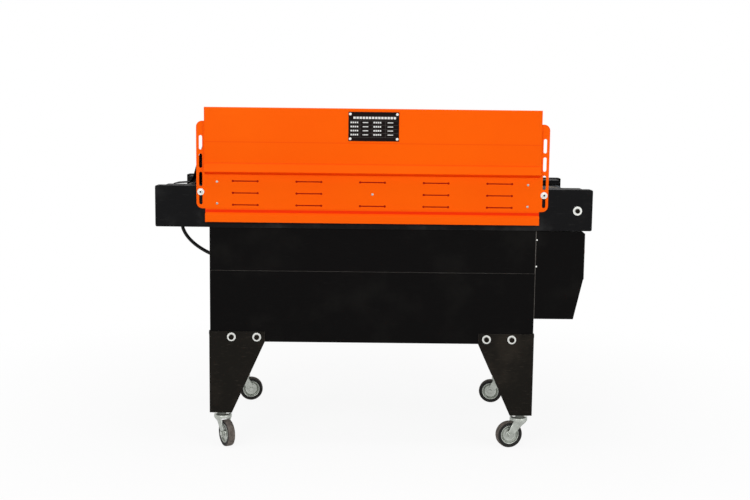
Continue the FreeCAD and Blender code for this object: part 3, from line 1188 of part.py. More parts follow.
for label, end, side in (("cabinet_left_panel", CABINET_LEFT, 1), ("cabinet_right_panel", CABINET_RIGHT, -1)):
    panel = piece("PartDesign::Body", label)
    inner, fold = f"{end} + {side} * panel_sheet", f"{end} + {side} * panel_return"
    rear = [(end, INSIDE_FACE), (fold, INSIDE_FACE), (fold, f"{INSIDE_FACE} - panel_sheet"),
            (inner, f"{INSIDE_FACE} - panel_sheet")]
    pad(panel, "XY", "cabinet_bottom + tray_height", f"{CABINET_TOP} - cabinet_bottom - tray_height",
        rear + [(across, f"-({back})") for across, back in reversed(rear)])
    if side > 0:
        drill(panel, "YZ", end, "panel_sheet", "gland_nipple", ("0", "elbow_height"))

front_upper = piece("PartDesign::Body", "cabinet_front_upper")
pad(front_upper, "XZ", "-cabinet_half_depth", "panel_sheet",
    panel_rectangle("panel_joint + panel_gap", CABINET_TOP))
front_lower = piece("PartDesign::Body", "cabinet_front_lower")
pad(front_lower, "XZ", "-cabinet_half_depth", "panel_sheet", panel_rectangle("cabinet_bottom", "panel_joint"))
drill(front_lower, "XZ", "-cabinet_half_depth", "panel_sheet", "leg_bolt_shank", *LEG_BOLT_PLACES)
rear_panel = piece("PartDesign::Body", "cabinet_rear_panel")
pad(rear_panel, "XZ", INSIDE_FACE, "panel_sheet", panel_rectangle("cabinet_bottom", CABINET_TOP))
drill(rear_panel, "XZ", INSIDE_FACE, "panel_sheet", "leg_bolt_shank", *LEG_BOLT_PLACES)
louvre_sketch = sketch_on(rear_panel, "XZ", INSIDE_FACE)
draw_slot(louvre_sketch, ("cabinet_centre - louvre_reach", "louvre_low"), "louvre_length", "louvre_width",
          False)
louvre = swept(rear_panel, "Pocket", louvre_sketch, "XZ", "panel_sheet")
repeat(rear_panel, louvre, ("H_Axis", "2 * louvre_reach", "2"), ("V_Axis", "louvre_pitch", "louvre_count"))


# Legs: a front plate and a side plate folded from one sheet, with a foot plate for the caster.

def make_leg(label, end, side):
    """One leg; end is -1 on the left, side is -1 in front."""
    body = piece("PartDesign::Body", label)
    outer = f"cabinet_centre + {end} * (cabinet_length / 2 + leg_sheet)"
    face = "cabinet_half_depth" if side > 0 else "-cabinet_half_depth - leg_sheet"
    outer_y = f"{side} * (cabinet_half_depth + leg_sheet)"
    pad(body, "XZ", face, "leg_sheet", [
        (outer, "leg_foot_height"), (f"{outer} - {end} * leg_foot_width", "leg_foot_height"),
        (f"{outer} - {end} * leg_top_width", "cabinet_bottom"),
        (f"{outer} - {end} * leg_top_width", "leg_top"), (outer, "leg_top")])
    side_start = CABINET_RIGHT if end > 0 else f"{CABINET_LEFT} - leg_sheet"
    pad(body, "YZ", side_start, "leg_sheet", [
        (outer_y, "leg_foot_height"), (f"{outer_y} - {side} * leg_side_foot", "leg_foot_height"),
        (f"{outer_y} - {side} * leg_side_top", "cabinet_bottom"),
        (f"{outer_y} - {side} * leg_side_top", "leg_top"), (outer_y, "leg_top")])
    pad(body, "XY", "leg_foot_height", "foot_sheet", [
        (outer, outer_y), (f"{outer} - {end} * leg_foot_width", outer_y),
        (f"{outer} - {end} * leg_foot_width", f"{outer_y} - {side} * leg_side_foot"),
        (outer, f"{outer_y} - {side} * leg_side_foot")])
    drill(body, "XZ", face, "leg_sheet", "leg_bolt_shank", *[
        (f"cabinet_centre + {end} * {place}", "leg_bolt_height")
        for place in ("leg_bolt_near", "leg_bolt_far")])
    drill(body, "YZ", side_start, "leg_sheet", "leg_bolt_shank",
          (f"{side} * leg_bolt_side", "leg_bolt_height"))
    swivel_x, swivel_y = f"cabinet_centre + {end} * caster_reach", f"{side} * caster_inset"
    drill(body, "XY", "leg_foot_height", "foot_sheet", "caster_bolt", *[
        (f"{swivel_x} + {across} * caster_hole_x / 2", f"{swivel_y} + {back} * caster_hole_y / 2")
        for across in (-1, 1) for back in (-1, 1)])
    return body


ENDS = (("left", -1), ("right", 1))
SIDES = (("front", -1), ("rear", 1))
for side_name, side in SIDES:
    for end_name, end in ENDS:
        make_leg(f"leg_{side_name}_{end_name}", end, side)


def leg_bolt(face, outward, inward, grip):
    """Washer and hexagon head on a leg's face, a shank through all the sheets and a nut behind them."""
    washer_top = along_step(face, outward, "leg_bolt_washer_sheet")
    back = along_step(face, inward, grip)
    return joined(
        rod(face, outward, "leg_bolt_washer", "leg_bolt_washer_sheet"),
        hexagon(washer_top, outward, "leg_bolt_head", "leg_bolt_head_height"),
        rod(back, outward, "leg_bolt_shank", grip),
        hexagon(back, inward, "leg_bolt_head", "leg_bolt_head_height"))


fasteners = []
for side, outward, inward in ((-1, "-Y", "Y"), (1, "Y", "-Y")):
    for place in LEG_BOLT_PLACES:
        face = (place[0], f"{side} * (cabinet_half_depth + leg_sheet)", place[1])
        fasteners.append(leg_bolt(face, outward, inward, "leg_sheet + 2 * panel_sheet"))
for end, outward, inward in ((-1, "-X", "X"), (1, "X", "-X")):
    for side in (-1, 1):
        face = (f"cabinet_centre + {end} * (cabinet_length / 2 + leg_sheet)", f"{side} * leg_bolt_side",
                "leg_bolt_height")
        fasteners.append(leg_bolt(face, outward, inward, "leg_sheet + panel_sheet"))

# White screws at the joint between the front panel and the control box.
for height in ("box_screw_high", "box_screw_low"):
    fasteners.append(rod((f"{CABINET_RIGHT} + box_screw / 2", "-box_half_depth", height), "-Y",
                         "box_screw", "box_screw_height"))


# Casters: a plate with its race and riveted swivel pin, a bent fork, and a rubber tyred wheel.
# A caster's turn is the direction in which its wheel trails, in degrees from +X.

CASTERS = (("front_left", -1, -1, -60), ("front_right", 1, -1, 195),
           ("rear_left", -1, 1, 8), ("rear_right", 1, 1, 170))
RACE_LOW = "leg_foot_height - caster_plate_sheet - race_height"
CROWN_LOW = f"{RACE_LOW} - seat_gap - fork_sheet"
CASTER_GRIP = "foot_sheet + caster_plate_sheet"
heads = []
for name, end, side, trail_angle in CASTERS:
    swivel = (f"cabinet_centre + {end} * caster_reach", f"{side} * caster_inset")
    seats = [(f"{swivel[0]} + {across} * caster_hole_x / 2", f"{swivel[1]} + {back} * caster_hole_y / 2",
              "leg_foot_height + foot_sheet") for across in (-1, 1) for back in (-1, 1)]
    head = joined(
        block((f"{swivel[0]} - caster_plate_x / 2", f"{swivel[1]} - caster_plate_y / 2",
               "leg_foot_height - caster_plate_sheet"),
              ("caster_plate_x", "caster_plate_y", "caster_plate_sheet")),
        rod((*swivel, RACE_LOW), "Z", "race_diameter", "race_height"),
        rod((*swivel, f"{CROWN_LOW} - seat_gap"), "Z", "kingpin_diameter", "fork_sheet + 2 * seat_gap"),
        rod((*swivel, f"{CROWN_LOW} - seat_gap - kingpin_head_height"), "Z", "kingpin_head",
            "kingpin_head_height"))
    heads.append(less(head, *[rod(seat, "-Z", "caster_bolt", CASTER_GRIP) for seat in seats]))
    for seat in seats:
        below = along_step(seat, "-Z", CASTER_GRIP)
        fasteners.append(joined(
            rod(seat, "-Z", "caster_bolt", CASTER_GRIP),
            hexagon(seat, "Z", "caster_bolt_head", "caster_bolt_head_height"),
            hexagon(below, "-Z", "caster_bolt_head", "caster_bolt_head_height")))
group("caster_heads", heads)
group("cabinet_fasteners", fasteners)


def stand_caster(body, name, end, side, trail_angle):
    """Turn a caster piece made at the origin, trailing along +X, and move it under its leg."""
    body.Placement = Placement(Vector(), Rotation(Vector(0, 0, 1), trail_angle))
    tie(body, "Placement.Base.x", f"cabinet_centre + {end} * caster_reach")
    tie(body, "Placement.Base.y", f"{side} * caster_inset")


def make_fork(name, *stance):
    """Crown, two cheeks tapering to the axle's eyes, and the axle with its head and nut."""
    body = piece("PartDesign::Body", f"caster_fork_{name}")
    outside = "fork_gap + 2 * fork_sheet"
    axle, crown_top = "wheel_radius", f"{RACE_LOW} - seat_gap"
    pad(body, "XZ", f"-({outside}) / 2", outside, [
        ("-fork_crown / 2", CROWN_LOW), ("-fork_crown / 2", crown_top), ("fork_crown / 2", crown_top),
        ("wheel_trail + fork_eye", f"{axle} + fork_eye_high"),
        ("wheel_trail + fork_eye", f"{axle} - fork_eye_low"),
        ("wheel_trail + fork_eye_flat", f"{axle} - fork_eye"),
        ("wheel_trail - fork_eye_flat", f"{axle} - fork_eye"),
        ("wheel_trail - fork_eye", f"{axle} - fork_eye_low")])
    cut(body, "XZ", "-fork_gap / 2", "fork_gap", [
        ("-fork_crown", "0"), ("wheel_trail + 2 * fork_eye", "0"), ("wheel_trail + 2 * fork_eye", CROWN_LOW),
        ("-fork_crown", CROWN_LOW)])
    boss(body, "XY", CROWN_LOW, "fork_sheet", "fork_crown", ("0", "0"))
    drill(body, "XY", CROWN_LOW, "fork_sheet", "kingpin_diameter + 2 * running_clearance", ("0", "0"))
    half = f"({outside}) / 2"
    boss(body, "XZ", f"-({half}) - axle_nut_height", f"{outside} + 2 * axle_nut_height", "axle_diameter",
         ("wheel_trail", axle))
    for start in (f"-({half}) - axle_nut_height", half):
        boss(body, "XZ", start, "axle_nut_height", "axle_nut", ("wheel_trail", axle))
    stand_caster(body, name, *stance)
    return body


def make_wheel(name, *stance):
    """Rubber tyre moulded on a hub with a rim, a thin web and a boss, bored for the axle."""
    hub = doc.addObject("PartDesign::Body", "WheelHub")
    bore, rim = "axle_diameter / 2 + running_clearance", "wheel_radius - tyre_depth"
    boss_half = "fork_gap / 2 - seat_gap"
    half = [("hub_boss", boss_half), ("hub_boss", "hub_web / 2"), (f"{rim} - hub_rim", "hub_web / 2"),
            (f"{rim} - hub_rim", "wheel_width / 2 - rim_inset"), (rim, "wheel_width / 2 - rim_inset")]
    revolve(hub, "YZ", [(bore, f"-({boss_half})")] + [(out, f"-({along})") for out, along in half]
            + list(reversed(half)) + [(bore, boss_half)])
    tyre = doc.addObject("PartDesign::Body", "WheelTyre")
    revolve(tyre, "YZ", [
        (rim, "-wheel_width / 2 + rim_inset"), ("wheel_radius - tyre_chamfer", "-wheel_width / 2"),
        ("wheel_radius", "-wheel_width / 2 + tyre_chamfer"),
        ("wheel_radius", "wheel_width / 2 - tyre_chamfer"),
        ("wheel_radius - tyre_chamfer", "wheel_width / 2"), (rim, "wheel_width / 2 - rim_inset")])
    upright = Rotation(Vector(1, 0, 0), -90)
    for part in (hub, tyre):
        part.Placement = Placement(Vector(), upright)
        tie(part, "Placement.Base.x", "wheel_trail")
        tie(part, "Placement.Base.z", "wheel_radius")
    wheel = group(f"caster_wheel_{name}", [hub, tyre])
    stand_caster(wheel, name, *stance)
    return wheel


for caster in CASTERS:
    make_fork(*caster)
    make_wheel(*caster)


# Control box on the cabinet's right end: a bent shell with its panel on the end face.

BOX_RIGHT = f"{CABINET_RIGHT} + box_length"
box = piece("PartDesign::Body", "control_box")
pad(box, "XZ", "-box_half_depth", "2 * box_half_depth", [
    (CABINET_RIGHT, "box_bottom"), (f"{CABINET_RIGHT} + box_bottom_length", "box_bottom"),
    (BOX_RIGHT, "box_knee"), (BOX_RIGHT, "box_top - box_chamfer"), (f"{BOX_RIGHT} - box_chamfer", "box_top"),
    (CABINET_RIGHT, "box_top")])
hollow(box, "panel_sheet", lambda middle, normal: middle.x < number(CABINET_RIGHT) + 0.01
       or middle.x > number(BOX_RIGHT) - 0.01)
cut(box, "XY", "box_top - panel_sheet", "panel_sheet", [
    (f"{MOTOR_X} + {across} * (motor_diameter / 2 + motor_room)",
     f"{MOTOR_Y} + {back} * (motor_diameter / 2 + motor_room)")
    for across, back in ((-1, -1), (1, -1), (1, 1), (-1, 1))])

control_panel = piece("PartDesign::Body", "control_panel")
pad(control_panel, "YZ", BOX_RIGHT, "panel_sheet", [
    ("-box_half_depth", "box_knee"), ("box_half_depth", "box_knee"),
    ("box_half_depth", "box_top - box_chamfer"), ("-box_half_depth", "box_top - box_chamfer")])
switch_places = ("stop_place", "power_place", "heater_place", "speed_place")
drill(control_panel, "YZ", BOX_RIGHT, "panel_sheet", "control_hole", *[
    (place, "control_row") for place in switch_places])
cut(control_panel, "YZ", BOX_RIGHT, "panel_sheet", [
    (f"controller_place + {across} * controller_side / 2", f"control_row + {up} * controller_side / 2")
    for across, up in ((-1, -1), (1, -1), (1, 1), (-1, 1))])

PANEL_FACE = f"{BOX_RIGHT} + panel_sheet"
joined(
    block((PANEL_FACE, "controller_place - controller_bezel / 2", "control_row - controller_bezel / 2"),
          ("controller_bezel_height", "controller_bezel", "controller_bezel")),
    block((f"{BOX_RIGHT} - controller_depth", "controller_place - controller_side / 2",
           "control_row - controller_side / 2"),
          ("controller_depth + panel_sheet", "controller_side", "controller_side")),
    label="temperature_controller")

bezels = []
for place in switch_places:
    seat = (PANEL_FACE, place, "control_row")
    bezels.append(less(
        joined(rod(seat, "X", "bezel_diameter", "bezel_height"),
               rod(seat, "-X", "control_hole", "panel_sheet + bezel_thread")),
        rod((f"{BOX_RIGHT} - bezel_thread", place, "control_row"), "X",
            "stem_diameter + 2 * running_clearance", "panel_sheet + bezel_thread + bezel_height")))
group("switch_bezels", bezels)


def make_knob(label, place, parts):
    """A control: a stem in its bezel and the given parts on it."""
    stem = rod((f"{BOX_RIGHT} - bezel_thread", place, "control_row"), "X", "stem_diameter",
               "panel_sheet + bezel_thread + bezel_height + stem_reach + stop_travel")
    return joined(stem, *parts, label=label)


KNOB_FACE = f"{PANEL_FACE} + bezel_height + seat_gap"
STOP_FACE = f"{PANEL_FACE} + bezel_height + stop_travel + seat_gap"
cap_edge = doc.addObject("Part::Cone", "StopCap")
tie(cap_edge, "Radius1", "stop_cap / 2")
tie(cap_edge, "Radius2", "stop_cap / 2 - stop_cap_bevel")
tie(cap_edge, "Height", "stop_cap_height")
set_down(cap_edge, (f"{STOP_FACE} + stop_cap_height", "stop_place", "control_row"), "X")
make_knob("stop_button", "stop_place", [
    rod((STOP_FACE, "stop_place", "control_row"), "X", "stop_cap", "stop_cap_height"), cap_edge])
for label, place in (("power_switch", "power_place"), ("heater_switch", "heater_place")):
    make_knob(label, place, [
        rod((KNOB_FACE, place, "control_row"), "X", "knob_base", "knob_base_height"),
        block((KNOB_FACE, f"{place} - knob_bar / 2", "control_row - knob_base / 2"),
              ("knob_height", "knob_bar", "knob_base"))])
make_knob("speed_knob", "speed_place", [
    rod((KNOB_FACE, "speed_place", "control_row"), "X", "speed_skirt", "speed_skirt_height"),
    rod((KNOB_FACE, "speed_place", "control_row"), "X", "speed_grip", "knob_height"),
    block((f"{KNOB_FACE} + knob_height + pointer_stand - pointer_length", "speed_place - pointer_width / 2",
           "control_row"), ("pointer_length", "pointer_width", "speed_grip / 2"))])


# Wiring hose from a gland under the conveyor's pan to an angled gland in the cabinet's left end.

# The route's points, from its start along X and from the channels' underside up.
HOSE_ROUTE = [(0, -6), (0, -34.5), (9.5, -60.5), (25.5, -84.5), (48.5, -107.5), (76.5, -127.5),
              (107.5, -144.5), (138.5, -158.75)]
hose_points = [Vector(number("hose_start") + along, 0, number(CABINET_TOP) + rise)
               for along, rise in HOSE_ROUTE]
hose_path = rounded_path(hose_points)
section = Part.Wire(Part.Circle(
    hose_points[0], hose_points[1] - hose_points[0], number("hose_diameter") / 2).toShape())
hose = piece("Part::Feature", "wiring_hose")
hose.Shape = hose_path.makePipeShell([section], True, False)
hose_volume = math.pi * (number("hose_diameter") / 2) ** 2 * hose_path.Length
print(f"hose length {hose_path.Length:.1f} mm, volume ratio {hose.Shape.Volume / hose_volume:.4f}")
for edge in hose_path.Edges:
    if edge.Curve.TypeId == "Part::GeomCircle":
        print(f"hose radius {edge.Curve.Radius:.0f} mm")


def nipple(start, end):
    """A plain length of gland between two points."""
    return Part.makeCylinder(number("gland_nipple") / 2, start.distanceToPoint(end), start, end - start)


def collar(face, along):
    """A collar on the nipple, from a face in the given direction."""
    return Part.makeCylinder(number("gland_diameter") / 2, number("gland_collar"), face, along)


RIGHTWARD, UPWARD = Vector(1, 0, 0), Vector(0, 0, 1)
mouth, pan_face = hose_points[0], Vector(number("hose_start"), 0, number(PAN_LOW))
pan_gland = nipple(mouth, pan_face + UPWARD * number("deck_sheet + gland_collar")).fuse([
    collar(pan_face, UPWARD * -1), collar(pan_face + UPWARD * number("deck_sheet"), UPWARD)])
last = (hose_points[-1] - hose_points[-2]).normalize()
panel_face = Vector(number(CABINET_LEFT), 0, number("elbow_height"))
elbow = panel_face - RIGHTWARD * number("elbow_reach")
inner_face = panel_face + RIGHTWARD * number("panel_sheet")
elbow_gland = nipple(hose_points[-1], elbow).fuse([
    nipple(elbow, inner_face + RIGHTWARD * number("gland_collar")),
    Part.makeSphere(number("gland_nipple") / 2, elbow), collar(hose_points[-1], last),
    collar(panel_face, RIGHTWARD * -1), collar(inner_face, RIGHTWARD)])
glands = piece("Part::Feature", "hose_glands")
glands.Shape = Part.makeCompound([pan_gland.removeSplitter(), elbow_gland.removeSplitter()])


# Every sub-part must be whole and valid before anything is written.

doc.recompute()
for item in doc.Objects:
    assert not {"Invalid", "Error"} & set(item.State), f"{item.Label} could not be worked out: {item.State}"
for made in PIECES:
    whole = not made.Shape.isNull() and made.Shape.isValid() and made.Shape.Solids
    assert whole, f"{made.Label} is not a solid"
os.makedirs("parts", exist_ok=True)
for made in PIECES:
    made.Shape.exportStep(f"parts/{made.Label}.step")
print(f"{len(PIECES)} sub-parts written")
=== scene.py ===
import json
import math

import bmesh
import bpy
import numpy as np
from mathutils import Matrix, Vector


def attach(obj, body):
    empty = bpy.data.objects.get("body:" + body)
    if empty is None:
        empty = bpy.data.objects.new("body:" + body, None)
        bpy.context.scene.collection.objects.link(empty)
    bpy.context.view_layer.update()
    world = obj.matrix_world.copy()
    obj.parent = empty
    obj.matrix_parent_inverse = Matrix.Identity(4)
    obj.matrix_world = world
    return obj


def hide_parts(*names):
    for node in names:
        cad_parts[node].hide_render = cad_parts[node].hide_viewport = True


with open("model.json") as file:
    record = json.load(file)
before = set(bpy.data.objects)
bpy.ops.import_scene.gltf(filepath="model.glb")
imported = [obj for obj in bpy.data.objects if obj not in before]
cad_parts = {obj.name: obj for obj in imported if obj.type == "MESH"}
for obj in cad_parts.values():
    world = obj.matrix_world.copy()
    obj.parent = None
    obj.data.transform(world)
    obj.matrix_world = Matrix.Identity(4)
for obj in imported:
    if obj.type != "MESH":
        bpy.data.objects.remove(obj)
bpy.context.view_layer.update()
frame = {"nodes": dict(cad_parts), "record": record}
scene = bpy.context.scene
body_of_node = {node: body for body, nodes in frame["record"]["behaviour"]["bodies"].items() for node in nodes}


# Camera
# One lens fitted to the photograph's straight edges. It stands 4.5 m in front, a little above the hood,
# and looks slightly down.
yaw, pitch, roll = -0.0033446, 0.1249478, 0.0116469
eye = (-0.0080336, -4.4830369, 1.2692204)
focal_length_px, photo_width_px, sensor_mm = 1125.0986, 750, 36
level_ahead = Vector((-math.sin(yaw), math.cos(yaw), 0))
level_right = Vector((math.cos(yaw), math.sin(yaw), 0))
ahead = level_ahead * math.cos(pitch) - Vector((0, 0, math.sin(pitch)))
raised = Vector((0, 0, math.cos(pitch))) + level_ahead * math.sin(pitch)
right = level_right * math.cos(roll) + raised * math.sin(roll)
above = raised * math.cos(roll) - level_right * math.sin(roll)
camera_data = bpy.data.cameras.new("camera")
camera_data.sensor_width = sensor_mm
camera_data.lens = focal_length_px * sensor_mm / photo_width_px
camera = bpy.data.objects.new("camera", camera_data)
camera.matrix_world = Matrix.Translation(eye) @ Matrix((right, above, -ahead)).transposed().to_4x4()
scene.collection.objects.link(camera)
scene.camera = camera


# Wiring hose
# Flexible conduit, PVC over a wire spiral, that carries the cables from the conveyor into the cabinet.
# It hangs in one curve between a straight gland under the pan and an angled gland in the end panel.
def linear(hex_colour):
    """An sRGB hex colour as linear RGBA: each channel through the inverse of the sRGB curve."""
    channels = [int(hex_colour[i:i + 2], 16) / 255 for i in (0, 2, 4)]
    return (*[c / 12.92 if c <= 0.04045 else ((c + 0.055) / 1.055) ** 2.4 for c in channels], 1)


def add_node(material, kind, settings=None, **links):
    """One node of a material: its properties, then its inputs by name, each a value or another's output."""
    tree = material.node_tree
    made = tree.nodes.new("ShaderNode" + kind)
    for name, value in (settings or {}).items():
        setattr(made, name, value)
    for name, value in links.items():
        socket = made.inputs[int(name[1:]) if name[0] == "n" and name[1:].isdigit() else name.replace("_", " ")]
        if isinstance(value, bpy.types.NodeSocket):
            tree.links.new(value, socket)
        else:
            socket.default_value = value
    return made


def new_material(name, **fixed):
    """An empty material with its main shader, whose plain values are set on the shader's own sockets."""
    material = bpy.data.materials.new(name)
    material.use_nodes = True
    shader = material.node_tree.nodes["Principled BSDF"]
    for socket, value in fixed.items():
        shader.inputs[socket.replace("_", " ")].default_value = value
    return material, shader


def linked(material, shader, **outputs):
    """Links outputs to the shader's inputs."""
    for socket, output in outputs.items():
        material.node_tree.links.new(output, shader.inputs[socket.replace("_", " ")])


def mottled(name, colours, scale, detail, gloss=None, bump=None, stretch=None, **fixed):
    """A material whose colour drifts between two values with a noise on Object coordinates. gloss is the
    roughness at the noise's two ends, bump the strength and depth of its relief, stretch its scale by axis."""
    material, shader = new_material(name, **fixed)
    place = add_node(material, "TexCoord").outputs["Object"]
    if stretch:
        place = add_node(material, "Mapping", Vector=place, Scale=stretch).outputs[0]
    drift = add_node(material, "TexNoise", Vector=place, Scale=scale, Detail=detail).outputs["Fac"]
    tone = add_node(material, "MixRGB", Fac=drift, Color1=linear(colours[0]), Color2=linear(colours[1]))
    linked(material, shader, Base_Color=tone.outputs[0])
    if gloss:
        rough = add_node(material, "MapRange", Value=drift, To_Min=gloss[0], To_Max=gloss[1])
        linked(material, shader, Roughness=rough.outputs[0])
    if bump:
        relief = add_node(material, "Bump", Strength=bump[0], Distance=bump[1], Height=drift)
        linked(material, shader, Normal=relief.outputs[0])
    return material


# Extruded PVC is dark with a soft shine, its skin faintly uneven.
hose_vinyl = mottled("hose_vinyl_extruded", ("131211", "242321"), 90.0, 4.0, bump=(0.15, 0.0005),
                     Roughness=0.42, IOR=1.5, Specular_IOR_Level=0.15)

hose_route = [(-0.767, 0, 0.826), (-0.767, 0, 0.7975), (-0.7575, 0, 0.7715), (-0.7415, 0, 0.7475),
              (-0.7185, 0, 0.7245), (-0.6905, 0, 0.7045), (-0.6595, 0, 0.6875), (-0.6285, 0, 0.67325)]
hose_curve = bpy.data.curves.new("wiring_hose_line", "CURVE")
hose_curve.dimensions = "3D"
hose_curve.bevel_depth = 0.007
hose_curve.bevel_resolution = 6
hose_curve.resolution_u = 16
spline = hose_curve.splines.new("NURBS")
spline.points.add(len(hose_route) - 1)
for point, spot in zip(spline.points, hose_route):
    point.co = (*spot, 1)
spline.order_u = 3
spline.use_endpoint_u = True
hose_curve.materials.append(hose_vinyl)
hose = bpy.data.objects.new("flexible_hose", hose_curve)
scene.collection.objects.link(hose)
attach(hose, "frame")
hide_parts("wiring_hose")


# Floor, lamps and background
# A pale floor that keeps the machine's shadow, two large soft lamps in front and one above, and white
# behind everything the camera or a reflection sees.
def seeing_ray(owner):
    """1 for a camera, glossy or transmission ray, 0 for the rays that light things: the largest of three."""
    seen = add_node(owner, "LightPath").outputs
    either = add_node(owner, "Math", {"operation": "MAXIMUM"}, n0=seen["Is Camera Ray"],
                      n1=seen["Is Glossy Ray"])
    return add_node(owner, "Math", {"operation": "MAXIMUM"}, n0=either.outputs[0],
                    n1=seen["Is Transmission Ray"]).outputs[0]


floor_paint = bpy.data.materials.new("floor_matt_white")
floor_paint.use_nodes = True
floor_paint.node_tree.nodes.clear()
# Away from the machine the floor is as white as what lies behind it; near it, the shadow shows.
spot = add_node(floor_paint, "TexCoord").outputs["Object"]
away = add_node(floor_paint, "VectorMath", {"operation": "LENGTH"}, n0=spot).outputs["Value"]
fading = add_node(floor_paint, "MapRange", {"interpolation_type": "SMOOTHSTEP"}, Value=away, From_Min=0.9,
                  From_Max=2.6, To_Min=0.9, To_Max=1.0)
share = add_node(floor_paint, "Math", {"operation": "MULTIPLY"}, n0=seeing_ray(floor_paint),
                 n1=fading.outputs[0])
matt = add_node(floor_paint, "BsdfDiffuse", Color=linear("f4f4f4"))
glow = add_node(floor_paint, "Emission", Color=(1, 1, 1, 1), Strength=1.0)
both = add_node(floor_paint, "MixShader", Fac=share.outputs[0], n1=matt.outputs[0], n2=glow.outputs[0])
add_node(floor_paint, "OutputMaterial", Surface=both.outputs[0])
floor_mesh = bpy.data.meshes.new("floor")
floor_mesh.from_pydata([(-30, -12, 0), (30, -12, 0), (30, 40, 0), (-30, 40, 0)], [], [(0, 1, 2, 3)])
floor_mesh.materials.append(floor_paint)
floor = bpy.data.objects.new("floor", floor_mesh)
scene.collection.objects.link(floor)

for name, spot, aim, width, height, watts in (
        ("front_lamp", (-2.2, -5.2, 3.4), (0, 0, 0.8), 3.4, 2.6, 108),
        ("right_lamp", (3.4, -4.2, 2.2), (0, 0, 0.8), 2.6, 2.6, 58),
        ("top_lamp", (0, -0.4, 4.4), (0, 0, 0.8), 4.0, 2.4, 68)):
    lamp_data = bpy.data.lights.new(name, "AREA")
    lamp_data.shape = "RECTANGLE"
    lamp_data.size, lamp_data.size_y, lamp_data.energy = width, height, watts
    lamp = bpy.data.objects.new(name, lamp_data)
    lamp.location = spot
    lamp.rotation_euler = (Vector(aim) - Vector(spot)).to_track_quat("-Z", "Y").to_euler()
    scene.collection.objects.link(lamp)

world = bpy.data.worlds.new("white_room")
scene.world = world
world.use_nodes = True
world.node_tree.nodes.clear()
strength = add_node(world, "MapRange", Value=seeing_ray(world), To_Min=0.4, To_Max=1.0)
backdrop = add_node(world, "Background", Color=(1, 1, 1, 1), Strength=strength.outputs["Result"])
add_node(world, "OutputWorld", Surface=backdrop.outputs[0])
scene.view_settings.view_transform = "Standard"


# Cabinet, control box and legs
# Mild steel sheet, 2 and 3 mm, cut, folded and powder coated black; every cut edge is slightly broken.
# The coat is fine textured, with rub marks and dull dusty patches low down.
def black_coat(name, fresh, dusty, rubbed):
    """Fine textured powder coat in three tints: the fresh coat, dull patches and pale rub marks on it."""
    coat, shader = new_material(name, IOR=1.5, Specular_IOR_Level=0.04)
    place = add_node(coat, "TexCoord").outputs["Object"]
    patches = add_node(coat, "TexNoise", Vector=place, Scale=7.0, Detail=5.0, Roughness=0.62)
    dull = add_node(coat, "MapRange", {"interpolation_type": "SMOOTHSTEP"}, Value=patches.outputs["Fac"],
                    From_Min=0.46, From_Max=0.78)
    # Texture grains of the coat are 0.3 mm in life and are drawn 1.2 mm wide so that they show.
    grain = add_node(coat, "TexNoise", Vector=place, Scale=820.0, Detail=2.0)
    rub_space = add_node(coat, "Mapping", Vector=place, Scale=(3.0, 3.0, 40.0))
    rubs = add_node(coat, "TexNoise", Vector=rub_space.outputs[0], Scale=9.0, Detail=6.0, Roughness=0.7)
    rub_mask = add_node(coat, "MapRange", Value=rubs.outputs["Fac"], From_Min=0.6, From_Max=0.76, To_Max=0.6)
    tone = add_node(coat, "MixRGB", Fac=dull.outputs[0], Color1=linear(fresh), Color2=linear(dusty))
    tone = add_node(coat, "MixRGB", Fac=rub_mask.outputs[0], Color1=tone.outputs[0], Color2=linear(rubbed))
    gloss = add_node(coat, "MapRange", Value=patches.outputs["Fac"], To_Min=0.42, To_Max=0.62)
    texture = add_node(coat, "Bump", Strength=0.2, Distance=0.0002, Height=grain.outputs["Fac"])
    linked(coat, shader, Base_Color=tone.outputs[0], Roughness=gloss.outputs[0], Normal=texture.outputs[0])
    return coat


coat_black = black_coat("steel_powder_coated_black", "090808", "121110", "262422")
coat_black_channels = black_coat("steel_powder_coated_black_scuffed", "131314", "2c2c2c", "403f3d")
coat_black_legs = black_coat("steel_powder_coated_black_dusty", "191714", "28241f", "5f564c")
# A thin grey line along folds and cut edges is painted highlight: the light that the broken edges catch.
edge_painted_highlight = mottled("painted_highlight_on_edges", ("3a3735", "6b6762"), 60.0, 4.0, gloss=(0.35, 0.55), IOR=1.5,
                    Specular_IOR_Level=0.1)


def flatten(piece):
    """Normals weighed by face area, so that flat faces look flat beside their rounded edges."""
    weighing = piece.modifiers.new("flat_faces", "WEIGHTED_NORMAL")
    weighing.mode, weighing.weight, weighing.keep_sharp = "FACE_AREA", 100, False


def edge_broken(node, material, width=0.0006, segments=2, worn=None):
    """The CAD node's own shape with its sharp edges rounded: doubles merged, flat faces made whole, a bevel
    on edges that turn by more than 35 degrees."""
    mesh = frame["nodes"][node].data.copy()
    mesh.name = node + "_finished"
    piece = bpy.data.objects.new(node + "_finished", mesh)
    scene.collection.objects.link(piece)
    shape = bmesh.new()
    shape.from_mesh(mesh)
    bmesh.ops.remove_doubles(shape, verts=shape.verts, dist=2e-6)
    bmesh.ops.dissolve_limit(shape, angle_limit=math.radians(1), verts=shape.verts, edges=shape.edges)
    shape.to_mesh(mesh)
    shape.free()
    mesh.materials.clear()
    mesh.materials.append(material)
    # The second material, when given, colours the bevelled edges: a painted highlight on the black sheet, painted shade
    # on the vent strips' slits.
    if worn:
        mesh.materials.append(worn)
    mesh.shade_smooth()
    bevel = piece.modifiers.new("broken_edge", "BEVEL")
    bevel.width, bevel.segments = width, segments
    bevel.limit_method, bevel.angle_limit = "ANGLE", math.radians(35)
    bevel.material = 1 if worn else -1
    flatten(piece)
    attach(piece, body_of_node[node])
    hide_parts(node)
    return piece


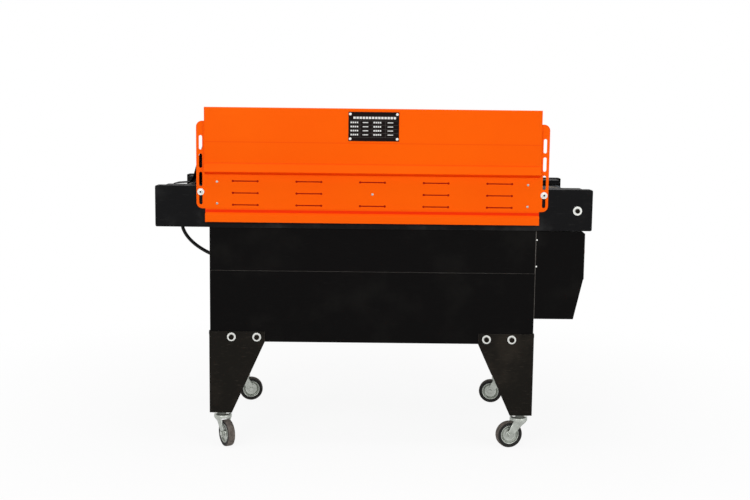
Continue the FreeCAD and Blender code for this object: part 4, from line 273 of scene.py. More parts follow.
for node in ("cabinet_front_upper", "cabinet_front_lower", "cabinet_left_panel", "cabinet_right_panel",
             "cabinet_rear_panel", "control_box", "control_panel"):
    edge_broken(node, coat_black, 0.0008, worn=edge_painted_highlight)
for node in ("leg_front_left", "leg_front_right", "leg_rear_left", "leg_rear_right"):
    edge_broken(node, coat_black_legs, 0.0008, worn=edge_painted_highlight)


def put_together(name, blocks, material, body, crease=35, closed=True):
    """One piece from blocks of points and quads: doubles merged, normals turned out, smooth but for creases."""
    offsets = np.cumsum([0] + [len(points) for points, faces in blocks[:-1]])
    points = np.concatenate([points for points, faces in blocks])
    faces = np.concatenate([faces + offset for (_, faces), offset in zip(blocks, offsets)])
    mesh = bpy.data.meshes.new(name)
    mesh.from_pydata(points.tolist(), [], faces.tolist())
    shape = bmesh.new()
    shape.from_mesh(mesh)
    bmesh.ops.remove_doubles(shape, verts=shape.verts, dist=1e-6)
    if closed:
        bmesh.ops.recalc_face_normals(shape, faces=shape.faces)
    shape.to_mesh(mesh)
    shape.free()
    mesh.materials.append(material)
    mesh.shade_smooth()
    mesh.set_sharp_from_angle(angle=math.radians(crease))
    piece = bpy.data.objects.new(name, mesh)
    scene.collection.objects.link(piece)
    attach(piece, body)
    return piece


# A box's quads, where its points are the four of one end and then the four of the other.
box_faces = np.array([(0, 1, 2, 3), (7, 6, 5, 4), (0, 4, 5, 1), (1, 5, 6, 2), (2, 6, 7, 3), (3, 7, 4, 0)])


def bar(low, high):
    """A plain bar between two corners in millimetres, as an eight point grid closed at both ends."""
    (x0, y0, z0), (x1, y1, z1) = np.array(low) / 1000, np.array(high) / 1000
    ends = [[(x, y0, z0), (x, y1, z0), (x, y1, z1), (x, y0, z1)] for x in (x0, x1)]
    return np.array(ends).reshape(-1, 3), box_faces


# A thin pale bar at the joint between the cabinet and the control box is painted highlight: the light that the joint's
# edges catch.
put_together("joint_painted_highlight", [bar((596.6, -374.4, 503), (598.8, -372.6, 828))], edge_painted_highlight, "frame")


# Side channels, deck covers and pan
# The same coated sheet, folded. A tab folded in from the web closes each end of the channels, and the
# covers stop short of the tabs so that they lift off.
def pulled_in(piece, beyond, within, by):
    """Ends cut back: points beyond a distance along X and within one along Y move towards the middle."""
    spots = np.empty(len(piece.data.vertices) * 3)
    piece.data.vertices.foreach_get("co", spots)
    spots = spots.reshape(-1, 3)
    at_end = (np.abs(spots[:, 0]) > beyond) & (np.abs(spots[:, 1]) < within)
    spots[:, 0] -= np.where(at_end, np.sign(spots[:, 0]) * by, 0)
    piece.data.vertices.foreach_set("co", spots.ravel())
    piece.data.update()


for node in ("conveyor_front_channel", "conveyor_rear_channel"):
    edge_broken(node, coat_black_channels, 0.0008, worn=edge_painted_highlight)
covers = edge_broken("deck_covers", coat_black_channels, 0.0005, worn=edge_painted_highlight)
pulled_in(covers, 0.79, 0.4, 0.018)
edge_broken("conveyor_pan", coat_black_channels, 0.0005)
put_together("channel_end_tabs", [
    bar((end * 798 - 1, side * 353.5 - 23, 835), (end * 798 + 1, side * 353.5 + 23, 980))
    for end in (-1, 1) for side in (-1, 1)], coat_black_channels, "frame")


# Bolts of the legs and casters, and white screws at the control box
# Black oxide socket cap screws on wide zinc plated washers with nuts behind, M8 caster bolts, and two
# nylon cap screws where the control box meets the front panel.
# Zinc plate is a pale, slightly cloudy grey, and new it is nearly white. On the swivel races it is dark and blotchy:
# painted shade, the shade under the legs.
zinc_plate = mottled("steel_zinc_plated", ("8d918a", "cbcfc8"), 55.0, 4.0, gloss=(0.26, 0.46), Metallic=0.8)
zinc_painted_shade = mottled("steel_zinc_plated_painted_shade", ("3c3e3a", "868983"), 90.0, 4.0, gloss=(0.22, 0.45),
                       Metallic=0.8)
zinc_bright = mottled("steel_zinc_plated_bright", ("d8dad4", "eff0ec"), 140.0, 3.0, gloss=(0.3, 0.45),
                      Metallic=0.7)
# Black oxide is a deep brown black with a dull, oily shine.
oxide_black = mottled("steel_black_oxide", ("110f0d", "2a2520"), 160.0, 3.0, gloss=(0.3, 0.5), Metallic=1.0)
# Moulded nylon is milky white with a soft shine.
nylon_white = mottled("nylon_moulded_white", ("e6e6e2", "f4f4f1"), 120.0, 2.0, gloss=(0.35, 0.5), IOR=1.53)


def grid_faces(rows, columns, rows_closed=False, columns_closed=False):
    """Quads between neighbours of a rows by columns grid of points, joined round where it is closed."""
    i = np.arange(rows if rows_closed else rows - 1)
    j = np.arange(columns if columns_closed else columns - 1)
    i, j = np.meshgrid(i, j, indexing="ij")
    after_i, after_j = (i + 1) % rows, (j + 1) % columns
    corners = (i * columns + j, i * columns + after_j, after_i * columns + after_j, after_i * columns + j)
    return np.stack(corners, -1).reshape(-1, 4)


def turned(profile, seat, axis, sides=32, closed=False):
    """A profile of (radius, height, hexagonal) rows in mm carried round an axis from a seat in metres.
    Round rows keep their radius; hexagonal rows take it as half the width across flats, divided by the
    cosine of the angle from the nearest flat's middle."""
    radius, height, six = np.array([row if len(row) > 2 else (*row, 0) for row in profile], float).T
    angle = np.linspace(0, 2 * np.pi, sides, endpoint=False)
    hexed = 1 / np.cos((angle + np.pi / 6) % (np.pi / 3) - np.pi / 6)
    reach = radius[:, None] * np.where(six[:, None] > 0, hexed[None, :], 1.0) / 1000
    axis = np.array(axis, float)
    across = np.cross(axis, (0, 0, 1.0) if abs(axis[2]) < 0.9 else (1.0, 0, 0))
    across /= np.linalg.norm(across)
    other = np.cross(axis, across)
    points = (np.array(seat, float) + axis * height[:, None, None] / 1000
              + reach[..., None] * (np.cos(angle)[:, None] * across + np.sin(angle)[:, None] * other))
    return points.reshape(-1, 3), grid_faces(len(profile), sides, closed, True)


def washer(outer, bore, thick):
    """A flat ring with broken edges as a closed profile."""
    return [(bore, 0), (outer - 0.3, 0), (outer, 0.3), (outer, thick - 0.3), (outer - 0.3, thick), (bore, thick)]


def socket_head(radius, height, flats, start=0.0):
    """A cap screw's head with a hexagon socket, from its seat to the bottom of the socket."""
    top = start + height
    return [(radius, start), (radius, top - 0.8), (radius - 0.8, top), (flats / 2 + 0.5, top),
            (flats / 2, top - 0.4, 1), (flats / 2, top - height * 0.55, 1), (0, top - height * 0.62)]


def nut(flats, thick):
    """A hexagon nut, its corners bevelled on the far side."""
    half = flats / 2
    return [(0, 0), (half, 0, 1), (half, thick - 1, 1), (half * 0.95, thick), (0, thick)]


# Each leg bolt's seat on the sheet, the way that it faces, and the sheet that it grips.
leg_faces = [((x, side * 0.378, 0.423), (0, side, 0), 0.007) for side in (-1, 1)
             for x in (-0.5235, -0.4295, 0.4235, 0.5175)]
leg_faces += [((-0.003 + end * 0.603, side * 0.3, 0.423), (end, 0, 0), 0.005)
              for end in (-1, 1) for side in (-1, 1)]
caster_places = [((-0.003 + end * 0.561, side * 0.322), angle) for end, side, angle in (
    (-1, -1, -60), (1, -1, 195), (-1, 1, 8), (1, 1, 170))]
caster_bolts = [(x + across * 0.022, y + back * 0.035) for (x, y), angle in caster_places
                for across in (-1, 1) for back in (-1, 1)]

washers = put_together("leg_bolt_washers", [
    turned(washer(16, 5.2, 3), seat, axis, 40, True) for seat, axis, grip in leg_faces]
    + [turned(nut(17, 8), np.array(seat) - np.array(axis) * grip, -np.array(axis))
       for seat, axis, grip in leg_faces]
    + [turned(nut(13, 5.5), (x, y, 0.138), (0, 0, 1)) for x, y in caster_bolts]
    + [turned(nut(13, 5.5), (x, y, 0.131), (0, 0, -1)) for x, y in caster_bolts],
    zinc_bright, "frame")
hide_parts("cabinet_fasteners")
put_together("leg_bolt_heads", [
    turned(socket_head(9.5, 8, 10, 3), seat, axis, 36) for seat, axis, grip in leg_faces],
    oxide_black, "frame")
put_together("control_box_screws", [
    turned([(0, 0), (3.2, 0), (3.2, 1), (2.4, 1.6), (0, 1.7)], (0.601, -0.373, height), (0, -1, 0), 24)
    for height in (0.797, 0.698)], nylon_white, "frame")


# Casters
# Pressed steel forks and top plates, zinc plated, on a ball race; wheels of 100 mm with two pressed discs
# and a moulded rubber tyre whose tread is worn grey.
edge_broken("caster_heads", zinc_plate, width=0.0008)

race_profile = [(20, 0), (30, 0), (31.5, 1), (31.5, 4.5), (29.5, 7.5), (26, 9), (20, 9)]
# The races under the legs are drawn in the dark zinc: painted shade.
put_together("swivel_races", [
    turned(race_profile, (x, y, 0.119), (0, 0, 1), 48, True) for (x, y), angle in caster_places],
    zinc_painted_shade, "frame")
# A black ring in the gap between each race and its crown is painted shade, the shade in that gap.
put_together("swivel_gap_painted_shade", [
    turned([(20, 0), (27.5, 0), (27.5, 3), (20, 3)], (x, y, 0.1165), (0, 0, 1), 48, True)
    for (x, y), angle in caster_places], oxide_black, "frame")

corner_names = ("front_left", "front_right", "rear_left", "rear_right")
trail, wheel_radius, fork_half_width, eye_radius, crown_radius, crown_height = 38, 50, 19.5, 13, 33.4, 106
crown_profile = [(6.3, 0), (28, 0), (30, -0.8), (31.3, -3), (31.5, -11.5), (33.5, -11.5), (33.4, -3), (31.8, 0.6),
                 (29, 2), (6.3, 2)]


def cheek(side):
    """One side of a fork, before it is turned: u along the trail, w across, z up, in mm. Rows run down
    from the crown to the axle's eye and end in its half circle; across a row u goes from edge to edge.
    w leaves the crown's circle, the root of its radius squared less u squared, and flattens by z 84."""
    share = np.linspace(0, 1, 14)[:, None]
    round_eye = np.linspace(0, np.pi / 2, 9)[1:, None] * 0.985
    middle = np.concatenate([trail * share, np.full((8, 1), float(trail))])
    half = np.concatenate([26 - (26 - eye_radius) * share, eye_radius * np.cos(round_eye)])
    z = np.concatenate([crown_height - (crown_height - wheel_radius) * share,
                        wheel_radius - eye_radius * np.sin(round_eye)])
    u = middle + half * np.linspace(-1, 1, 11)[None, :]
    ease = np.clip((crown_height - z) / 22, 0, 1)
    ease = ease * ease * (3 - 2 * ease)
    w = (1 - ease) * np.sqrt(crown_radius ** 2 - np.clip(u, -33, 33) ** 2) + ease * fork_half_width
    return np.stack([u, side * w, np.broadcast_to(z, u.shape)], -1).reshape(-1, 3), grid_faces(22, 11)[:, ::side]


for name, ((x, y), angle) in zip(corner_names, caster_places):
    turn = math.radians(angle)
    trail_frame = np.array([(math.cos(turn), math.sin(turn), 0), (-math.sin(turn), math.cos(turn), 0), (0, 0, 1)])
    cheeks = put_together("fork_cheeks_" + name, [
        (points @ trail_frame / 1000 + (x, y, 0), faces) for points, faces in (cheek(-1), cheek(1))],
        zinc_plate, "swivel_" + name, 50, closed=False)
    plate = cheeks.modifiers.new("sheet_thickness", "SOLIDIFY")
    plate.thickness, plate.offset = 0.0025, -1.0
    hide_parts("caster_fork_" + name)
    put_together("fork_crown_" + name, [turned(crown_profile, (x, y, 0.115), (0, 0, 1), 48, True)],
                 zinc_plate, "swivel_" + name, 50)

# Moulded rubber is a matt dark grey, paler on the tread where it is worn and dusty.
tyre_rubber, shader = new_material("rubber_moulded_grey", Roughness=0.72, IOR=1.52, Specular_IOR_Level=0.2)
place = add_node(tyre_rubber, "TexCoord").outputs["UV"]
across_tread = add_node(tyre_rubber, "SeparateXYZ", Vector=place).outputs["Y"]
worn = add_node(tyre_rubber, "MapRange", Value=across_tread, From_Min=0.7, From_Max=0.95)
dust = add_node(tyre_rubber, "TexNoise", Vector=add_node(tyre_rubber, "TexCoord").outputs["Object"], Scale=70.0,
                Detail=5.0)
amount = add_node(tyre_rubber, "Math", {"operation": "MULTIPLY"}, n0=worn.outputs[0], n1=dust.outputs["Fac"])
tone = add_node(tyre_rubber, "MixRGB", Fac=amount.outputs[0], Color1=linear("1f1e1d"), Color2=linear("8a8078"))
linked(tyre_rubber, shader, Base_Color=tone.outputs[0])

tread = [(36, -12), (42, -13.6), (46, -14), (48.6, -12.6), (49.8, -9), (50, -4.6), (49.2, -4), (49.2, -3.4),
         (50, -2.8), (50, 2.8), (49.2, 3.4), (49.2, 4), (50, 4.6), (49.8, 9), (48.6, 12.6), (46, 14), (42, 13.6),
         (36, 12)]
half_disc = [(10, 16.7), (10, 12), (12, 9), (15, 7.5), (20, 8.5), (25, 8.2), (28, 5), (29.5, 4), (31, 5), (32, 10),
             (33, 12.6), (34.4, 13.2), (35.4, 12.6), (35.9, 11)]
disc = [(5.1, -16.7)] + [(r, -h) for r, h in half_disc] + half_disc[::-1] + [(5.1, 16.7)]
for name, ((x, y), angle) in zip(corner_names, caster_places):
    turn = math.radians(angle)
    centre = (x + trail / 1000 * math.cos(turn), y + trail / 1000 * math.sin(turn), wheel_radius / 1000)
    axle = (-math.sin(turn), math.cos(turn), 0)
    body = "wheel_" + name
    tyre = put_together("tyre_" + name, [turned(tread, centre, axle, 96, True)], tyre_rubber, body, 50)
    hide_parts("caster_wheel_" + name)
    uv = tyre.data.uv_layers.new(name="tread")
    corners = np.array([loop.vertex_index for loop in tyre.data.loops])
    spots = np.array([vertex.co for vertex in tyre.data.vertices]) - centre
    radius = np.linalg.norm(spots - np.outer(spots @ np.array(axle), axle), axis=1)
    values = np.stack([np.zeros(len(corners)), (radius[corners] * 1000 - 36) / 14], -1)
    uv.data.foreach_set("uv", values.ravel())
    put_together("hub_" + name, [turned(disc, centre, axle, 64, True)], zinc_plate, body, 40)
    put_together("axle_ends_" + name, [
        turned(nut(17, 6), np.array(centre) + np.array(axle) * side * (fork_half_width / 1000),
               np.array(axle) * side) for side in (-1, 1)], zinc_plate, "swivel_" + name)


# Conveyor: drums, bearings, belt and its grid
# Turned steel drums in cast flange bearings; the belt is woven from 1 mm stainless wire on 1.2 mm cross
# wires 12.7 mm apart, and slides on a grid of five rods laid in the notches of four cross bars.
# Drawn stainless steel has fine streaks along Y, and its shine is spread along them.
bright_steel = mottled("stainless_steel_drawn", ("8e8c87", "b9b7b1"), 12.0, 4.0, gloss=(0.22, 0.42),
                       stretch=(60.0, 1.5, 60.0), Metallic=1.0)
# Enamelled cast iron is an even grey whose shine is broken by the sand's grain, drawn 3 mm wide so that it shows.
cast_grey = mottled("iron_cast_enamelled", ("474c50", "5b6166"), 300.0, 3.0, bump=(0.35, 0.0004), Roughness=0.5,
                    IOR=1.5)

half_run, bend_radius, drum_height = 0.745, 0.0509, 0.906
for node, material, slot in (("drive_drum", bright_steel, "zinc_steel"), ("idler_drum", bright_steel, "zinc_steel"),
                             ("belt_grid", zinc_plate, "zinc_steel"),
                             ("drum_bearings", cast_grey, "cast_housing")):
    edge_broken(node, material, width=0.0005)
put_together("bearing_bolts", [
    turned(nut(10, 5), (x + across * 0.024, side * 0.369, drum_height + up * 0.024), (0, -side, 0), 24)
    for x in (-half_run, half_run) for side in (-1, 1) for across in (-1, 1) for up in (-1, 1)],
    zinc_plate, "frame")
shaft_end = (half_run, -0.3803, drum_height)
shaft_washer = put_together("shaft_washer", [turned(washer(16.5, 5.2, 3), shaft_end, (0, -1, 0), 40, True)],
                            zinc_bright, "drive_drum")
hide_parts("shaft_bolt")
put_together("shaft_bolt_head", [turned(socket_head(8.5, 7, 8, 3), shaft_end, (0, -1, 0), 36)],
             oxide_black, "drive_drum")

belt_pitch_count, cross_wire_radius, woven_wire_radius, half_wave = 260, 0.0006, 0.0005, 0.0046
loop_length = 4 * half_run + 2 * np.pi * bend_radius


def round_the_drums(distance):
    """Place on the belt's loop after a distance, as X and Z: along the top, round the left drum, back and
    round the right one."""
    distance = distance % loop_length
    half_turn = np.pi * bend_radius
    turned_left = np.clip(distance - 2 * half_run, 0, half_turn) / bend_radius
    turned_right = np.clip(distance - 4 * half_run - half_turn, 0, half_turn) / bend_radius
    turn = np.pi / 2 + turned_left + turned_right
    along = half_run - np.clip(distance, 0, 2 * half_run) + np.clip(
        distance - 2 * half_run - half_turn, 0, 2 * half_run)
    return along + bend_radius * np.cos(turn), drum_height + bend_radius * np.sin(turn)


def wire(line, radius, sides, closed=False):
    """A wire of a few sides along an array of points: at each, a ring across the direction of the line."""
    ahead_of = np.roll(line, -1, 0) - np.roll(line, 1, 0) if closed else np.gradient(line, axis=0)
    ahead_of /= np.linalg.norm(ahead_of, axis=1)[:, None]
    side = np.cross(ahead_of, (0.13, 0.37, 0.92))
    side /= np.linalg.norm(side, axis=1)[:, None]
    other = np.cross(ahead_of, side)
    angle = np.linspace(0, 2 * np.pi, sides, endpoint=False)
    ring = np.cos(angle)[None, :, None] * side[:, None] + np.sin(angle)[None, :, None] * other[:, None]
    return (line[:, None] + radius * ring).reshape(-1, 3), grid_faces(len(line), sides, closed, True)


stations = np.arange(belt_pitch_count) / belt_pitch_count * loop_length
belt_blocks = []
loop_x, loop_z = round_the_drums(stations)
for x, z in zip(loop_x, loop_z):
    rod_line = np.array([(x, y, z) for y in (-0.2245, -0.075, 0.075, 0.2245)])
    belt_blocks.append(wire(rod_line, cross_wire_radius, 5))
sway = np.where(np.arange(belt_pitch_count) % 2 == 0, -half_wave, half_wave)
for column in np.linspace(-0.2185, 0.2185, 37):
    belt_blocks.append(wire(np.stack([loop_x, column + sway, loop_z], -1), woven_wire_radius, 4, True))
# Stainless wire goes dull and brownish in the heat, in patches about 120 mm long.
wire_steel = mottled("stainless_wire_heat_tarnished", ("4e4b46", "8a857c"), 8.0, 4.0, gloss=(0.3, 0.5),
                     Metallic=1.0)
mesh_belt = put_together("woven_wire_belt", belt_blocks, wire_steel, "frame", 60)
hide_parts("mesh_belt")


# Hood
# Two millimetre steel sheet folded over the top and down both sides, with a drip lip and a recess for the
# vent strip; powder coated orange. End plates close it, and the slotted ears clamp it to the conveyor.
def orange_coat(name, creases=()):
    """Orange powder coat. In a band round each crease, given as its height, half width and share, the colour is mixed
    towards a dark red: painted shade, the shade that falls in the creases and under the drip lip. The share fades with
    the distance from that height along Z."""
    coat, shader = new_material(name, IOR=1.5, Specular_IOR_Level=0.05)
    place = add_node(coat, "TexCoord").outputs["Object"]
    drift = add_node(coat, "TexNoise", Vector=place, Scale=3.0, Detail=3.0)
    tone = add_node(coat, "MixRGB", Fac=drift.outputs["Fac"], Color1=linear("f95800"), Color2=linear("ff6400"))
    height = add_node(coat, "SeparateXYZ", Vector=place).outputs["Z"]
    for level, half, share in creases:
        off = add_node(coat, "Math", {"operation": "SUBTRACT"}, n0=height, n1=level / 1000)
        away = add_node(coat, "Math", {"operation": "ABSOLUTE"}, n0=off.outputs[0])
        band = add_node(coat, "MapRange", Value=away.outputs[0], From_Min=half / 1000, From_Max=half / 1000 + 0.0016,
                        To_Min=share, To_Max=0.0)
        # Painted shade: within each band the tone is mixed towards a dark red.
        tone = add_node(coat, "MixRGB", Fac=band.outputs[0], Color1=tone.outputs[0], Color2=linear("f03000"))
    gloss = add_node(coat, "MapRange", Value=drift.outputs["Fac"], To_Min=0.4, To_Max=0.52)
    # Orange peel of the coat is 1.5 mm across; the sheet's own faint waves are 200 mm long.
    peel = add_node(coat, "TexNoise", Vector=place, Scale=650.0, Detail=2.0)
    peel_bump = add_node(coat, "Bump", Strength=0.12, Distance=0.0002, Height=peel.outputs["Fac"])
    waves = add_node(coat, "TexNoise", Vector=place, Scale=5.0, Detail=1.0)
    wave_bump = add_node(coat, "Bump", Strength=0.25, Distance=0.0015, Height=waves.outputs["Fac"],
                         Normal=peel_bump.outputs[0])
    linked(coat, shader, Base_Color=tone.outputs[0], Roughness=gloss.outputs[0], Normal=wave_bump.outputs[0])
    return coat


coat_orange = orange_coat("steel_powder_coated_orange")
# The folded sheet's coat carries painted shade at its creases, under the drip lip and above the lower band.
coat_orange_with_painted_shade = orange_coat("steel_powder_coated_orange_folded_painted_shade", (
    (1144, 0.6, 0.45), (1067, 1.5, 0.3), (1030.5, 4.5, 0.65), (892, 4.5, 0.95)))


def bent(corners, radius):
    """A profile whose corners are rounded, each by its radius: on the corner's circle, six points at even
    angles from one tangent to the other."""
    corners, radius = np.array(corners, float), np.array(radius, float)
    back = corners[:-2] - corners[1:-1]
    forth = corners[2:] - corners[1:-1]
    back /= np.linalg.norm(back, axis=1)[:, None]
    forth /= np.linalg.norm(forth, axis=1)[:, None]
    half = np.arccos(np.clip((back * forth).sum(1), -1, 1)) / 2
    middle = back + forth
    middle /= np.linalg.norm(middle, axis=1)[:, None]
    centre = corners[1:-1] + middle * (radius / np.sin(half))[:, None]
    side = np.stack([-middle[:, 1], middle[:, 0]], -1) * np.sign(
        back[:, 0] * middle[:, 1] - back[:, 1] * middle[:, 0])[:, None]
    sweep = np.linspace(-1, 1, 6)[None, :] * (np.pi / 2 - half)[:, None]
    arcs = centre[:, None] - radius[:, None, None] * (
        np.cos(sweep)[..., None] * middle[:, None] - np.sin(sweep)[..., None] * side[:, None])
    return np.concatenate([corners[:1], arcs.reshape(-1, 2), corners[-1:]])


recess_wall = 382.3
front_side = [(-392, 852), (-392, 880), (-recess_wall, 888), (-recess_wall, 1028), (-406, 1036), (-389, 1067),
              (-392, 1144), (-392, 1269)]
bends = [3, 3, 3, 2, 4, 4, 5]
fold_line = bent(front_side + [(-y, z) for y, z in front_side[::-1]], bends + bends[::-1])
slit_columns, slit_rows = -6 + 232.0 * np.arange(-2, 3), np.array([915, 958.5, 1002])
window_half_length, window_half_height, rivet_place = 54, 7, (-6, 958.5)
window_edges = np.sort((slit_rows[:, None] + (-window_half_height, window_half_height)).ravel())
# Points are added on both recess walls at the windows' edges, by their distance along the fold line.
distance = np.concatenate([[0], np.cumsum(np.linalg.norm(np.diff(fold_line, axis=0), axis=1))])
on_wall = np.flatnonzero(np.isclose(fold_line[:, 0], -recess_wall) & (fold_line[:, 1] < 900))[-1]
front_marks = distance[on_wall] + window_edges - fold_line[on_wall, 1]
marks = np.unique(np.concatenate([distance, front_marks, distance[-1] - front_marks]))
fold_line = np.stack([np.interp(marks, distance, fold_line[:, axis]) for axis in (0, 1)], -1)
hood_ends = [-616, 604]
stations = np.unique(np.concatenate([
    hood_ends, (slit_columns[:, None] + (-window_half_length, window_half_length)).ravel()]))
points = np.stack([np.repeat(stations[:, None], len(fold_line), 1),
                   np.repeat(fold_line[None, :, 0], len(stations), 0),
                   np.repeat(fold_line[None, :, 1], len(stations), 0)], -1).reshape(-1, 3)
quads = grid_faces(len(stations), len(fold_line))[:, ::-1]
middle = points[quads].mean(1)
at_column = np.abs(middle[:, :1] - slit_columns).min(1) < window_half_length
at_row = np.abs(middle[:, 2:] - slit_rows).min(1) < window_half_height
at_row &= np.abs(np.abs(middle[:, 1]) - recess_wall) < 0.1
# The middle window of the middle row isn't cut: a rivet stands there.
at_rivet = (np.abs(middle[:, 0] - rivet_place[0]) < window_half_length) & (
    np.abs(middle[:, 2] - rivet_place[1]) < window_half_height)
hood_skin = put_together("folded_hood", [(points / 1000, quads[~(at_column & at_row & ~at_rivet)])],
                         coat_orange_with_painted_shade, "hood", 60, closed=False)
sheet = hood_skin.modifiers.new("sheet_thickness", "SOLIDIFY")
sheet.thickness, sheet.offset, sheet.use_even_offset = 0.002, -1.0, True
flatten(hood_skin)
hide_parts("hood_shell")
for node in ("hood_end_left", "hood_end_right"):
    edge_broken(node, coat_orange, width=0.0004)
# The dark red on the slits' punched edges is painted shade, the shade inside the slits. The slits' edges
# look dark red in the photograph; a thin coat on the punched edges is the guess for why.
slit_edge_painted_shade = mottled("painted_shade_on_punched_edges", ("b01200", "cc2200"), 60.0, 2.0, Roughness=0.6, IOR=1.5,
                   Specular_IOR_Level=0.05)
for node in ("vent_strip_front", "vent_strip_rear"):
    edge_broken(node, coat_orange, width=0.0007, worn=slit_edge_painted_shade)

screw_faces = [((-0.006 + x / 1000, side * 0.3843, z / 1000), (0, side, 0)) for side in (-1, 1)
               for x, z in ((-567, 999), (-567, 919.5), (0, 958.5), (567, 999), (567, 919.5))]
strip_screws = put_together("vent_strip_screws", [
    turned([(0, 0), (4.5, 0), (4.4, 0.5), (3.8, 1.1), (2.6, 1.5), (1.2, 1.6), (1.0, 0.9), (0, 0.9)], seat, axis, 24)
    for seat, axis in screw_faces], zinc_plate, "hood")
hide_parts("hood_rivets")

clamp_faces = [((x, side * 0.3846, 0.9615), (0, side, 0)) for side in (-1, 1) for x in (-0.632, 0.620)]
clamp_washers = put_together("clamp_washers", [
    turned(washer(12.5, 5.2, 2.5), seat, axis, 36, True) for seat, axis in clamp_faces]
    + [turned([(0, 0), (8, 0), (8, 2), (0, 2)], (seat[0], math.copysign(0.38, seat[1]), seat[2]), axis, 24)
       for seat, axis in clamp_faces]
    + [turned(nut(16, 8), (seat[0], math.copysign(0.377, seat[1]), seat[2]), (0, -axis[1], 0), 36)
       for seat, axis in clamp_faces],
    zinc_bright, "frame")
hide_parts("clamp_bolts")
put_together("clamp_bolt_heads", [
    turned(socket_head(7.5, 7, 7, 2.5), seat, axis, 36) for seat, axis in clamp_faces],
    zinc_bright, "frame")
# A black disc down in each socket of the bright heads is painted shade, the shade in the socket.
put_together("clamp_socket_painted_shade", [
    turned([(0, 5.6), (3.9, 5.6), (3.9, 6.2), (0, 6.2)], seat, axis, 24) for seat, axis in clamp_faces],
    oxide_black, "frame")


# Data plate
# Black anodised aluminium with ruled lines and plain blocks in place of words, on four white screws.
# Black anodised aluminium is dull and satin, with faint streaks along the plate; the inks on it are flat.
plate_black = mottled("aluminium_anodised_black", ("0b0605", "1a110f"), 30.0, 3.0, stretch=(2.0, 60.0, 60.0),
                      Roughness=0.45, Specular_IOR_Level=0.06)
plate_line = mottled("ink_screen_printed_white", ("cfcfcd", "efefec"), 400.0, 2.0, Roughness=0.6)
edge_broken("data_plate", plate_black, width=0.0006, segments=3)
ink = (-393.62, -393.5)
blocks = [bar((x, ink[0], 1232), (x + 8.6, ink[1], 1240)) for x in np.arange(-78, 68, 11.2)]
for row in (1216.5, 1201.5, 1187, 1172.5):
    blocks += [bar((x, ink[0], row), (x + 5.2, ink[1], row + 5.6)) for x in (-88, -80.5, -73, -65.5, -5, 2.5, 10, 17.5)]
    blocks += [bar((x, ink[0], row + 1), (x + 20, ink[1], row + 4)) for x in (-44, 46)]
put_together("plate_marks", blocks, plate_line, "hood")
plate_rule = mottled("ink_screen_printed_grey", ("35312f", "4d4947"), 300.0, 2.0, Roughness=0.6)
lines = [bar((-91, ink[0], z), (83, ink[1], z + 0.7)) for z in (1165.5, 1180.5, 1195, 1209.5, 1225.5)]
lines += [bar((x, ink[0], 1165.5), (x + 0.7, ink[1], 1226)) for x in (-54, -10, 38)]
put_together("plate_ruling", lines, plate_rule, "hood")
plate_screws = put_together("plate_screws", [
    turned([(0, 0), (5, 0), (4.8, 0.9), (3.6, 1.7), (1.8, 2.1), (0, 2.1)], (x, -0.3935, z), (0, -1, 0), 24)
    for x in (-0.089, 0.081) for z in (1.160, 1.249)], nylon_white, "hood")
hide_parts("data_plate_screws")


# Curtains
# Strips of black silicone coated glass cloth, 1.6 mm thick, hemmed round a rod at each mouth. The belt
# drags their feet along, so they hang in a curve and no two strips lie quite alike.
# Coated cloth is nearly black and matt, with dull smears, and its threads only just show.
curtain_cloth, shader = new_material("silicone_coated_glass_cloth", Roughness=0.6, IOR=1.43,
                                     Specular_IOR_Level=0.03)
place = add_node(curtain_cloth, "TexCoord").outputs["Object"]
# Threads of the glass cloth are 0.5 mm apart and are drawn 2 mm apart so that they show.
threads = add_node(curtain_cloth, "TexWave", {"bands_direction": "Y"}, Vector=place, Scale=250.0, Distortion=0.5)
smears = add_node(curtain_cloth, "TexNoise", Vector=place, Scale=25.0, Detail=4.0)
tone = add_node(curtain_cloth, "MixRGB", Fac=smears.outputs["Fac"], Color1=linear("0b0b0b"), Color2=linear("1a1918"))
weave_bump = add_node(curtain_cloth, "Bump", Strength=0.15, Distance=0.0002, Height=threads.outputs["Fac"])
linked(curtain_cloth, shader, Base_Color=tone.outputs[0], Normal=weave_bump.outputs[0])


def smooth_drop(corners, count):
    """A quadratic B-spline with its ends on the end corners, as points at even parameter steps."""
    corners = np.array(corners, float)
    knots = np.concatenate([[0, 0], np.arange(len(corners) - 1), [len(corners) - 2] * 2]).astype(float)
    t = np.linspace(0, len(corners) - 2 - 1e-9, count)
    basis = ((t[:, None] >= knots[:-1]) & (t[:, None] < knots[1:])).astype(float)
    for degree in (1, 2):
        span = knots[degree:-1] - knots[:-degree - 1]
        later = knots[degree + 1:] - knots[1:-degree]
        rise = np.where(span > 0, (t[:, None] - knots[:-degree - 1]) / np.where(span > 0, span, 1), 0)
        fall = np.where(later > 0, (knots[degree + 1:] - t[:, None]) / np.where(later > 0, later, 1), 0)
        basis = rise * basis[:, :-1] + fall * basis[:, 1:]
    return basis @ corners


